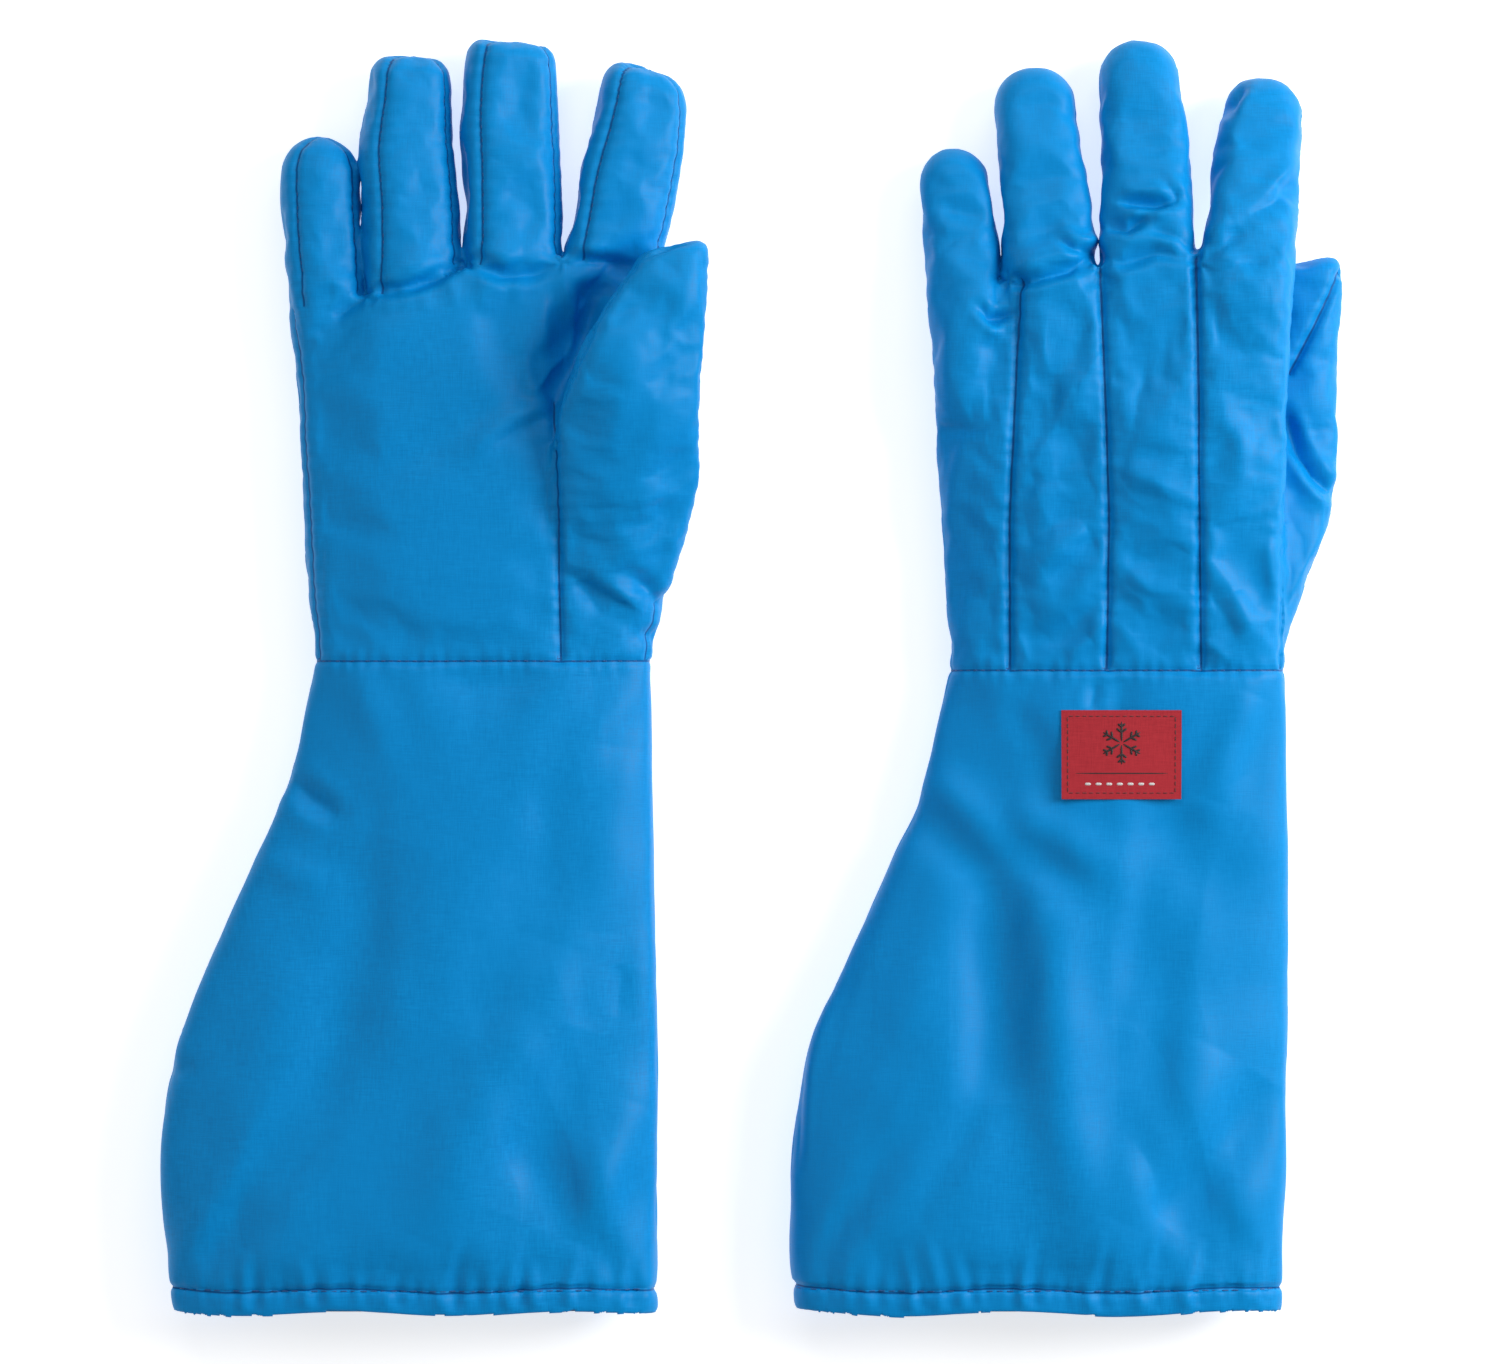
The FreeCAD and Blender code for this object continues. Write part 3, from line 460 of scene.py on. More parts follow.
def body_rows(spec):
    """The sleeve and hand's rows in the form of a digit's."""
    return [((left + right) / 2, y, z, right - left, depth, *(turn or (0, 0)))
            for y, left, right, z, depth, *turn in spec["body"]]


# ---------------------------------------------------------------- one glove's form
class Form:
    """The whole padded form of a glove, with where each of its points is on it."""

    def __init__(self, glove):
        spec = GLOVES[glove]
        self.glove, self.spec = glove, spec
        self.sign = 1 if spec["palm_up"] else -1
        self.tubes = [Tube(body_rows(spec), 0, BODY_POWER, SHRINK)]
        self.shape_body_end()
        for digit in DIGITS:
            rows, tip = spec[digit]
            power = 2.9 if spec["palm_up"] else (2.5 if digit != "thumb" else 2.7)
            self.tubes.append(Tube(rows, tip, power, SHRINK if digit == "thumb" else DIGIT_SHRINK))
        self.build()

    def shape_body_end(self):
        """Stretches the body's end to the line where the fingers part."""
        points = self.tubes[0].points
        line = np.array(BODY_END[self.glove], float)
        last = self.spec["body"][-1][0]
        share = np.clip((points[..., 1] - BEND_FROM) / (last - BEND_FROM), 0, None)
        end = np.interp(points[..., 0], line[:, 0], line[:, 1])
        moved = BEND_FROM + share * (end - BEND_FROM)
        points[..., 1] = np.where(points[..., 1] > BEND_FROM, moved, points[..., 1])

    def build(self):
        """Joins the tubes under one skin, and smooths it."""
        verts, faces = [], []
        if self.spec["palm_up"]:
            for tube in (self.tubes[0], self.tubes[4]):
                flat = tube.points.reshape(-1, 3)
                d, share = path_distance(flat[:, :2], THUMB_HOLLOW)
                dent = HOLLOW_DEPTH * np.exp(-(d / (11.5 - 4.5 * share)) ** 3)
                dent *= 1 - 0.4 * np.abs(2 * share - 1)
                flat[:, 2] -= np.where(flat[:, 2] > HOLLOW_ABOVE, dent, 0)
                tube.points = flat.reshape(tube.points.shape)
        for tube in self.tubes:
            v, f = tube.mesh()
            base = len(verts)
            verts.extend(v)
            faces.extend(tuple(i + base for i in face) for face in f)
        obj = self.obj = new_object(f"{self.glove}_form", verts, faces)
        remesh = obj.modifiers.new("skin", "REMESH")
        remesh.mode, remesh.voxel_size = "VOXEL", VOXEL * MM
        applied(obj)
        mesh = obj.data
        self.edges = neighbours(mesh)
        self.count = len(mesh.vertices)
        co = coords(mesh)
        mouth = co[:, 1] < (MOUTH + 1.0) * MM
        smooth = blur(co, self.edges, 3, self.count)
        smooth = smooth + 0.55 * (smooth - blur(smooth, self.edges, 2, self.count))
        smooth[mouth] = co[mouth]
        set_coords(mesh, smooth)
        self.locate()

    def locate(self):
        """Finds each point's tube, its place along it and its angle round it."""
        co = coords(self.obj.data) / MM
        tree = kdtree.KDTree(sum(t.points.shape[0] * t.points.shape[1] for t in self.tubes))
        owner, ring = [], []
        index = 0
        for number, tube in enumerate(self.tubes):
            for i in range(tube.points.shape[0]):
                for p in tube.points[i]:
                    tree.insert(p, index)
                    owner.append(number)
                    ring.append(i)
                    index += 1
        tree.balance()
        found = np.array([tree.find(p)[1] for p in co])
        self.owner = np.array(owner)[found]
        ring = np.array(ring)[found]
        self.u = np.zeros(self.count)
        self.w = np.zeros(self.count)
        self.size = np.zeros(self.count)
        for number, tube in enumerate(self.tubes):
            here = self.owner == number
            i = ring[here]
            d = co[here] - tube.centre[i]
            self.u[here] = (d * tube.across[i]).sum(1) / np.maximum(tube.half[i, 0], 4)
            self.w[here] = (d * tube.up[i]).sum(1) / np.maximum(tube.half[i, 1], 4)
            self.size[here] = tube.half[i, 1]
        self.angle = np.degrees(np.arctan2(self.w, self.u))
        self.rest = co

    def seam_marks(self):
        """Signed distance in mm to the nearest sewn seam, the place along it, and how deep it draws in."""
        co, w = self.rest, self.w * self.sign
        far, along, deep = np.full(self.count, 99.0), np.zeros(self.count), np.zeros(self.count)

        def mark(distance, where, use, depth):
            closer = use & (np.abs(distance) < np.abs(far))
            far[closer], along[closer], deep[closer] = distance[closer], where[closer], depth

        def mark_path(path, use, depth):
            distance, _ = path_distance(co[:, :2], path)
            mark(distance * np.where(co[:, 0] > seam_x(path, co[:, 1]), 1, -1), co[:, 1], use, depth)

        wrist, body = self.spec["wrist"], self.owner == 0
        angle = self.angle * self.sign
        for number, digit in enumerate(DIGITS, start=1):
            for corner, start in zip(front_corners(self.glove, digit), SEAM_STARTS[self.glove][digit]):
                arc = (angle - corner) * np.pi / 180 * self.size * 1.2
                mark(arc, co[:, 1], (self.owner == number) & (co[:, 1] > start), 0.45)
        side = (w - SIDE_SEAM) * self.size
        mark(side, co[:, 1], body & (np.abs(self.u) > 0.9) & (co[:, 1] > wrist), 0.2)
        for path in STRIP_SEAMS[self.glove]:
            mark_path(path, (w < -0.2) & (self.owner < 5), 1.0)
        mark_path(PALM_SEAM[self.glove], (w > 0) & (self.owner != 4), 0.8)
        if not self.spec["palm_up"]:
            mark_path(THUMB_BACK_SEAM, (w < 0) & (self.owner == 5), 0.8)
        mark(co[:, 1] - wrist, co[:, 0], body, 0.25)
        mark(co[:, 1] - MOUTH - HEM, co[:, 0], body, 0.5)
        return far, along, deep

    def inflate(self):
        """Lets cloth swell between its seams, which stay put."""
        obj, mesh = self.obj, self.obj.data
        seam, _, deep = self.seam_marks()
        seam = np.abs(seam)
        co, no = coords(mesh), normals(mesh)
        depth = 1.6 * deep * np.exp(-(seam / 3.2) ** 2)
        co = co - no * depth[:, None] * MM
        finger = blur(((self.owner > 0) & (self.owner < 5)).astype(float), self.edges, 3, self.count)
        swell = SHRINK * 0.55 + (DIGIT_SHRINK - SHRINK) * finger
        co = co + no * swell[:, None] * MM
        set_coords(mesh, co)
        before = coords(mesh)
        pins = obj.vertex_groups.new(name="seams")
        y = self.rest[:, 1]
        held = np.maximum(np.exp(-(seam / 2.2) ** 2), np.clip((MOUTH + 12 - y) / 6, 0, 1))
        held = np.where(self.rest[:, 2] < 2.2, np.maximum(held, 0.75), held)
        for level in range(1, 11):
            chosen = np.nonzero(np.round(held * 10) == level)[0]
            if len(chosen):
                pins.add(chosen.tolist(), level / 10, "REPLACE")
        cloth = obj.modifiers.new("cloth", "CLOTH")
        c = cloth.settings
        c.quality = 4
        c.mass = 0.2
        c.tension_stiffness = c.compression_stiffness = 12
        c.shear_stiffness = 6
        c.bending_stiffness = 0.6
        c.air_damping = 3
        c.use_pressure = True
        c.uniform_pressure_force = 2.6
        c.shrink_min = -0.035
        c.vertex_group_mass = "seams"
        c.pin_stiffness = 1.5
        c.effector_weights.gravity = 0
        cloth.collision_settings.use_self_collision = False
        scene = bpy.context.scene
        cloth.point_cache.frame_start, cloth.point_cache.frame_end = 1, CLOTH_FRAMES
        for step in range(1, CLOTH_FRAMES + 1):
            scene.frame_set(step)
        applied(obj)
        scene.frame_set(1)
        mesh = obj.data
        move = coords(mesh) - before
        length = np.linalg.norm(move, axis=1)
        move *= np.minimum(1, MOST_SWELL * MM / np.maximum(length, 1e-9))[:, None]
        fine, broad = blur(move, self.edges, 2, self.count), blur(move, self.edges, 24, self.count)
        sleeve = smoothstep((self.spec["wrist"] + 2 - self.rest[:, 1]) / 10)
        palm = (self.owner == 0) & (self.w * self.sign > 0.3)
        calm = np.maximum(sleeve, np.where(palm, 0.6, 0.2))[:, None]
        move = fine * (1 - calm) + broad * calm
        co = before + move
        y = self.rest[:, 1]
        near_hem = 1.1 + 1.3 * smoothstep((y - MOUTH - HEM) / 25)
        sides = near_hem * smoothstep((self.spec["wrist"] + 2 - y) / 30) * (self.owner == 0)
        co[:, 0] += no[:, 0] * sides * MM
        co[:, 2] = np.maximum(co[:, 2], FLOOR_GAP * MM)
        set_coords(mesh, co)

    def detail(self):
        """Adds the cloth's finer relief, once the form is final."""
        obj = self.obj
        subdivide = obj.modifiers.new("fine", "SUBSURF")
        subdivide.levels = subdivide.render_levels = 1
        applied(obj)
        mesh = obj.data
        self.edges, self.count = neighbours(mesh), len(mesh.vertices)
        self.locate()
        co, no = self.rest, normals(mesh)
        x, up = co[:, 0], co[:, 1] - MOUTH - HEM
        body = self.owner == 0
        self.seam, along, deep = self.seam_marks()
        move = self.waves(co, no) + self.folds(co, smoothstep((no[:, 2] + 0.25) / 0.5))
        move += self.crotches(co) + self.seam_relief(along, deep)
        move += np.where(body, self.hem_relief(co, up), 0)
        near_mouth = np.clip((co[:, 1] - MOUTH) / 3, 0.25, 1)
        co = co + no * (move * np.where(body, near_mouth, 1))[:, None]
        edge = body & (self.rest[:, 1] < MOUTH + 12)
        co[:, 1] += np.where(edge, 0.9 * np.sin(x * 0.075 + 0.6) * smoothstep(1 - up / 6), 0)
        co[:, 2] = np.maximum(co[:, 2], LEAST_HEIGHT)
        set_coords(mesh, co * MM)
        self.co, self.no = coords(mesh) / MM, normals(mesh)

    def waves(self, co, no):
        """Slight waves all over, as in cloth that lies loosely."""
        rng = np.random.default_rng(7 if self.glove == "right" else 11)
        side = np.where(no[:, 2] > 0, 1, -1)
        waves = np.zeros(self.count)
        for _ in range(14):
            length, turn, phase = rng.uniform(24, 70), rng.uniform(0, math.pi), rng.uniform(0, 6.28, 2)
            kx, ky = math.cos(turn) * 6.283 / length, math.sin(turn) * 6.283 / length
            waves += side * np.sin(kx * co[:, 0] + ky * co[:, 1] + phase[0]) * 0.05
        return waves

    def folds(self, co, top):
        """The folds and creases of the upper side. Each ridge has a slight dip beside it."""
        move = np.zeros(self.count)
        for path, width, height in FOLDS[self.glove]:
            spots = np.array(path, float)
            low, high = spots.min(0) - 3.5 * width, spots.max(0) + 3.5 * width
            near = np.nonzero(((co[:, :2] > low) & (co[:, :2] < high)).all(1) & (top > 0))[0]
            d, share = path_distance(co[near, :2], path)
            taper = 1 - np.abs(2 * share - 1) ** 3 * 0.75
            sharp, gain = (1.5, FOLD_GAIN) if width < CRISP_BELOW else (2.2, 1.0)
            profile = np.exp(-(d / width) ** sharp) - 0.3 * np.exp(-((d - 2 * width) / (1.1 * width)) ** 2)
            move[near] += gain * height * profile * taper * top[near]
        return move

    def crotches(self, co):
        """Small creases that run out from where two fingers meet."""
        move = np.zeros(self.count)
        for x, y in CROTCHES[self.glove]:
            r = np.hypot(co[:, 0] - x, co[:, 1] - y)
            turn = np.arctan2(co[:, 1] - y, co[:, 0] - x)
            move += np.exp(-(r / 5.5) ** 2) * (0.55 * np.cos(5 * turn + 0.8) - 0.5) * (self.owner < 5)
        return move

    def seam_relief(self, along, deep):
        """A seam's groove, the swell on both sides of it, and the ripple its thread draws."""
        seam = np.abs(self.seam)
        ripple = np.sin(along * 1.05 + 1.3 * np.sin(along * 0.21)) + 0.6 * np.sin(along * 0.47 + 2)
        swell = 0.3 * deep * np.exp(-((seam - 2.6) / 1.6) ** 2)
        groove = (0.35 + 0.85 * deep) * np.exp(-(seam / 0.95) ** 2)
        return 0.17 * ripple * np.exp(-(seam / 4.2) ** 2) + swell - groove

    def hem_relief(self, co, up):
        """The gathers along the hem's stitching and the longer puckers above it."""
        x, hem = co[:, 0], MOUTH + HEM
        gather = np.sin(x * 0.62 + 1.2 * np.sin(x * 0.13)) + 0.7 * np.sin(x * 0.31 + 1)
        fade = np.where(up > 0, np.exp(-(up / 9) ** 2), np.exp(-(up / 7) ** 2))
        move = 0.30 * gather * fade
        for px, lean, length in PUCKERS[self.glove]:
            path = ((px, hem - 4), (px, hem), (px + lean * 0.4, hem + length * 0.5),
                    (px + lean, hem + length))
            for shift, height in ((0, 0.9), (4.2, -0.6)):
                d, share = path_distance(co[:, :2] - [shift, 0], path)
                move += height * np.exp(-(d / 2.6) ** 2) * (1 - share) ** 0.7
        return move

    def panels(self):
        """Names the sewn panel that each face belongs to."""
        mesh = self.obj.data
        first = read(mesh.polygons, "loop_start", kind=np.int64)
        corner = read(mesh.loops, "vertex_index", kind=np.int64)
        centre = read(mesh.polygons, "center", 3) / MM
        facing = read(mesh.polygons, "normal", 3)
        lead = corner[first]
        owner, angle = self.owner[lead], self.angle[lead] * self.sign
        w = self.w[lead] * self.sign
        x, y = centre[:, 0], centre[:, 1]
        strips = [seam_x(path, y) for path in STRIP_SEAMS[self.glove]]
        palm = PALM_SEAM[self.glove]
        corners = np.array([front_corners(self.glove, digit) for digit in ("ring",) + DIGITS])
        first_corner, last_corner = corners[owner].T
        front = np.where(owner == 0, w > SIDE_SEAM, (angle > first_corner) & (angle < last_corner))
        back_index = sum((x > strip).astype(int) for strip in strips)
        names = np.array(["little_back_strip", "ring_back_strip", "middle_back_strip", "index_back_strip",
                          "thumb_base_panel"], dtype=object)
        panel = names[np.where(owner == 5, 4, np.minimum(back_index, np.where(y > 104, 3, 4)))]
        on_thumb = (owner == 5) | ((x > seam_x(palm, y)) & (y < palm[-1][1]))
        panel[front] = np.where(on_thumb[front], "thumb_base_panel", "palm_panel")
        panel[y < self.spec["wrist"]] = "sleeve"
        panel[y < MOUTH + HEM] = "hem"
        for number, digit in enumerate(DIGITS, start=1):
            px, py, yaw, _ = BENDS[self.glove][digit]
            yaw = math.radians(yaw)
            past = (owner == number) & ((x - px) * math.sin(yaw) + (y - py) * math.cos(yaw) > 0)
            panel[past & front] = f"{digit}_front_panel"
            panel[past & ~front] = f"{digit}_back_panel"
        cap = (y < MOUTH + 2) & (facing[:, 1] < -0.5)
        panel[cap] = "mouth"
        return panel, first, corner

    def cut(self):
        """Cuts the form into one object for each sewn panel. Returns them by name."""
        panel, first, corner = self.panels()
        mesh = self.obj.data
        totals = read(mesh.polygons, "loop_total", kind=np.int64)
        pieces = {}
        for name in sorted(set(panel)):
            if name == "mouth":
                continue
            mine = panel == name
            faces = [tuple(corner[s:s + t]) for s, t in zip(first[mine], totals[mine])]
            used = np.unique(np.concatenate([np.array(f) for f in faces]))
            slot = np.full(self.count, -1, dtype=np.int64)
            slot[used] = np.arange(len(used))
            faces = [tuple(slot[list(face)]) for face in faces]
            obj = cloth_object(f"{self.glove}_{name}", self.co[used] * MM, faces)
            obj.data.normals_split_custom_set_from_vertices([tuple(n) for n in self.no[used]])
            keep(obj, "seam", self.seam[used])
            keep(obj, "seam_near", np.minimum(np.abs(self.seam[used]), 9))
            pieces[name] = obj
        return pieces

    def ring(self, y, step):
        """Points round the body's surface at y, about a step apart."""
        tube = self.tubes[0]
        i = int(np.argmin(np.abs(tube.centre[:, 1] - y)))
        centre = tube.centre[i].copy()
        centre[1] = y
        points = []
        for turn in np.linspace(0, 2 * math.pi, 720, endpoint=False):
            ray = tube.spoke(i, turn)
            ray[1] = 0
            hit = self.tree.ray_cast(Vector(centre * MM), Vector(ray).normalized())
            if hit[0]:
                points.append(np.array(hit[0]) / MM)
        points.append(points[0])
        return spaced(np.array(points), step)

    def digit_seam(self, digit, corner, start, step):
        """Points along a digit's seam, about a step apart, from y = start to the tip."""
        tube = self.tubes[DIGITS.index(digit) + 1]
        points = []
        turn = math.radians(corner) * self.sign
        for i in range(len(tube.centre)):
            if tube.centre[i, 1] < start:
                continue
            ray = tube.spoke(i, turn)
            hit = self.tree.ray_cast(Vector(tube.centre[i] * MM), Vector(ray).normalized())
            if hit[0] and hit[3] / MM < 1.25 * np.linalg.norm(ray) + 2:
                points.append(np.array(hit[0]) / MM)
        return spaced(np.array(points), step)


def spaced(points, step):
    """Points evenly set along a line of points, about a step apart."""
    lengths = np.concatenate([[0], np.cumsum(np.linalg.norm(np.diff(points, axis=0), axis=1))])
    count = max(2, int(lengths[-1] / step) + 1)
    at = np.linspace(0, lengths[-1], count)
    return np.stack([np.interp(at, lengths, points[:, k]) for k in range(3)], 1)


def cloth_object(name, verts, faces, smooth=True):
    """A piece that keeps its points' rest places, so that the weave stays put when the cloth bends."""
    obj = new_object(name, verts, faces)
    mesh = obj.data
    mesh.polygons.foreach_set("use_smooth", [smooth] * len(faces))
    attribute = mesh.attributes.new("rest", "FLOAT_VECTOR", "POINT")
    attribute.data.foreach_set("vector", coords(mesh).reshape(-1))
    return obj


def keep(obj, name, values):
    attribute = obj.data.attributes.new(name, "FLOAT", "POINT")
    attribute.data.foreach_set("value", values.astype(np.float32))


def stitches(name, paths, length, radius):
    """Short lengths of thread along paths, sunk a little into the cloth. Lengths in mm."""
    verts, faces = [], []
    shape = ((-0.5, 0.35), (-0.42, 0.8), (-0.2, 1.0), (0.2, 1.0), (0.42, 0.8), (0.5, 0.35))
    for path in paths:
        for a, b in zip(path, path[1:]):
            gap = np.linalg.norm(b - a)
            if gap < 1e-6:
                continue
            along = (b - a) / gap
            side = np.cross(along, [0, 0, 1.0])
            side = side / max(np.linalg.norm(side), 1e-6)
            up = np.cross(side, along)
            base = len(verts)
            for share, scale in shape:
                middle = (a + b) / 2 + along * share * min(length, gap * 0.8)
                for k in range(6):
                    turn = math.pi * k / 3
                    out = math.cos(turn) * side + math.sin(turn) * up
                    verts.append((middle + radius * scale * out) * MM)
            faces.extend(tube_faces(base, len(shape), 6))
    return cloth_object(name, verts, faces)


# ---------------------------------------------------------------- materials
class Nodes:
    """A material's node tree, with short calls for the nodes used here."""

    def __init__(self, name):
        self.material = bpy.data.materials.new(name)
        self.material.use_nodes = True
        self.tree = self.material.node_tree
        self.shader = self.tree.nodes["Principled BSDF"]

    def add(self, kind, inputs=None, **settings):
        node = self.tree.nodes.new(kind)
        for key, value in settings.items():
            setattr(node, key, value)
        for key, value in (inputs or {}).items():
            self.put(value, node.inputs[key])
        return node

    def put(self, value, socket):
        if isinstance(value, bpy.types.NodeSocket):
            self.tree.links.new(value, socket)
        else:
            socket.default_value = value

    def noise(self, scale, detail=2.0, rough=0.5):
        return self.add("ShaderNodeTexNoise", {"Vector": self.place(scale), "Scale": 1.0, "Detail": detail,
                                               "Roughness": rough}).outputs["Fac"]

    def kept(self, name, output="Fac"):
        """A value kept on the mesh's points."""
        return self.add("ShaderNodeAttribute", attribute_name=name).outputs[output]

    def place(self, scale):
        """The cloth's rest place, in metres, stretched by scale."""
        rest = self.kept("rest", "Vector")
        return self.add("ShaderNodeVectorMath", {0: rest, 1: scale}, operation="MULTIPLY").outputs[0]

    def math(self, operation, *values):
        return self.add("ShaderNodeMath", dict(enumerate(values)), operation=operation).outputs[0]

    def ramp(self, value, low, high, start=0.0, end=1.0):
        return self.add("ShaderNodeMapRange", {"Value": value, "From Min": start, "From Max": end,
                                               "To Min": low, "To Max": high}).outputs[0]

    def mix(self, share, a, b):
        node = self.add("ShaderNodeMix", data_type="RGBA")
        self.put(share, node.inputs[0])
        self.put(a, node.inputs[6])
        self.put(b, node.inputs[7])
        return node.outputs[2]

    def bump(self, height, distance, strength, normal=None):
        inputs = {"Height": height, "Distance": distance, "Strength": strength}
        if normal is not None:
            inputs["Normal"] = normal
        return self.add("ShaderNodeBump", inputs).outputs[0]

    def set(self, **inputs):
        for key, value in inputs.items():
            self.put(value, self.shader.inputs[key.replace("_", " ")])
        return self.material


def woven(name, colour, dark, light, rough=0.44, weave=1.0, sheen=0.0, gloss=0.135, line=None):
    """A close plain weave: fine ribs across the sleeve, crossed by the warp, with slubs and a soft bloom.

    The line's colour darkens the cloth along its seams.
    """
    n = Nodes(name)
    weft = n.noise((170 * weave, 2300 * weave, 300 * weave))
    warp = n.noise((2300 * weave, 170 * weave, 300 * weave))
    slub = n.noise((60, 700, 60), 3.0, 0.6)
    cloud = n.noise((16, 16, 16), 3.0)
    grain = n.math("MULTIPLY", n.math("ADD", weft, warp), 0.5)
    tone = n.mix(n.ramp(grain, 0, 1, 0.36, 0.64), dark, light)
    tone = n.mix(n.ramp(slub, 0.0, 0.6, 0.45, 0.75), tone, colour)
    tone = n.mix(n.ramp(cloud, 0.15, 0.6, 0.35, 0.65), tone, colour)
    if line:
        fine = n.ramp(n.math("ABSOLUTE", n.kept("seam")), 0.85, 0.0, 0.18, 0.5)
        near = n.ramp(n.kept("seam_near"), 1.0, 0.0, 1.0, 1.4)
        tone = n.mix(n.math("MULTIPLY", fine, near), tone, line)
    crumple = n.noise((34, 24, 34), 1.0, 0.4)
    normal = n.bump(crumple, 0.0035, 0.25)
    normal = n.bump(grain, 0.00009, 0.7, normal)
    normal = n.bump(slub, 0.00006, 0.4, normal)
    roughness = n.ramp(grain, rough - 0.06, rough + 0.08, 0.35, 0.65)
    return n.set(Base_Color=tone, Roughness=roughness, Normal=normal, Sheen_Weight=sheen,
                 Sheen_Roughness=0.4, Specular_IOR_Level=gloss)


def thread(name, colour, dark):
    n = Nodes(name)
    twist = n.add("ShaderNodeTexWave", {"Vector": n.place((1, 1, 1)), "Scale": 900.0, "Distortion": 1.0},
                  wave_type="BANDS", bands_direction="DIAGONAL").outputs["Fac"]
    return n.set(Base_Color=n.mix(twist, dark, colour), Roughness=0.55, Normal=n.bump(twist, 0.00005, 0.6),
                 Sheen_Weight=0.2)


def fleece(name, colour, dark):
    n = Nodes(name)
    pile = n.noise((900, 900, 900), 4.0, 0.65)
    cloud = n.noise((120, 120, 120))
    tone = n.mix(n.ramp(pile, 0, 1, 0.35, 0.65), dark, colour)
    tone = n.mix(n.ramp(cloud, 0, 0.4, 0.4, 0.7), tone, dark)
    return n.set(Base_Color=tone, Roughness=0.95, Normal=n.bump(pile, 0.0006, 0.7), Sheen_Weight=0.5,
                 Specular_IOR_Level=0.2)


NYLON = woven("blue_nylon", (0.0005, 0.256, 0.64, 1), (0.0003, 0.220, 0.565, 1), (0.0008, 0.296, 0.72, 1),
              line=(0.0006, 0.07, 0.26, 1))
RIBBON = woven("red_ribbon", (0.44, 0.018, 0.030, 1), (0.34, 0.012, 0.022, 1), (0.52, 0.028, 0.040, 1),
               rough=0.6, weave=1.2, sheen=0.15, gloss=0.3)
BLUE_THREAD = thread("blue_thread", (0.003, 0.12, 0.38, 1), (0.002, 0.07, 0.25, 1))
RED_THREAD = thread("red_thread", (0.16, 0.008, 0.014, 1), (0.09, 0.004, 0.008, 1))
DARK_THREAD = thread("dark_thread", (0.030, 0.012, 0.014, 1), (0.015, 0.006, 0.008, 1))
WHITE_THREAD = thread("white_thread", (0.80, 0.78, 0.76, 1), (0.55, 0.53, 0.52, 1))
LINING = fleece("brushed_lining", (0.05, 0.16, 0.30, 1), (0.03, 0.10, 0.20, 1))


# ---------------------------------------------------------------- gloves
def follow(obj, glove, zone):
    """Parents a piece to its glove's sleeve body if it belongs to the sleeve; any other piece only has its
    transform baked into its mesh.
    """
    sleeve, hand = f"{glove}_sleeve", f"{glove}_hand"
    if zone == "sleeve":
        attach(obj, sleeve)
    elif zone == "hand":
        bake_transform(obj)
    else:
        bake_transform(obj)


def dress(obj, material):
    """Gives a piece its material."""
    obj.data.materials.append(material)
    return obj


def make_lining(form):
    """The brushed inner face, seen through the mouth: a closed sock inside the sleeve."""
    rows = [row for row in body_rows(form.spec) if row[1] < form.spec["wrist"]]
    tube = Tube(rows, 0, BODY_POWER, SHRINK + LINING_DEPTH)
    deeper = 5.5 * smoothstep((tube.centre[:, 1] - MOUTH - 12) / 25)
    middle = tube.centre[:, None]
    tube.points = middle + (tube.points - middle) * (1 - deeper / tube.half[:, 1])[:, None, None]
    tube.points[:, :, 1] += 1.2
    verts, faces = tube.mesh()
    faces = [tuple(reversed(face)) for face in faces[:-2]] + [tuple(reversed(faces[-1]))]
    return cloth_object(f"{form.glove}_sleeve_lining_cloth", verts, faces)


def thicken(obj, depth):
    """Gives a sheet its thickness, inwards."""
    solid = obj.modifiers.new("thick", "SOLIDIFY")
    solid.thickness, solid.offset, solid.use_rim = depth * MM, -1, True
    applied(obj)
    return obj


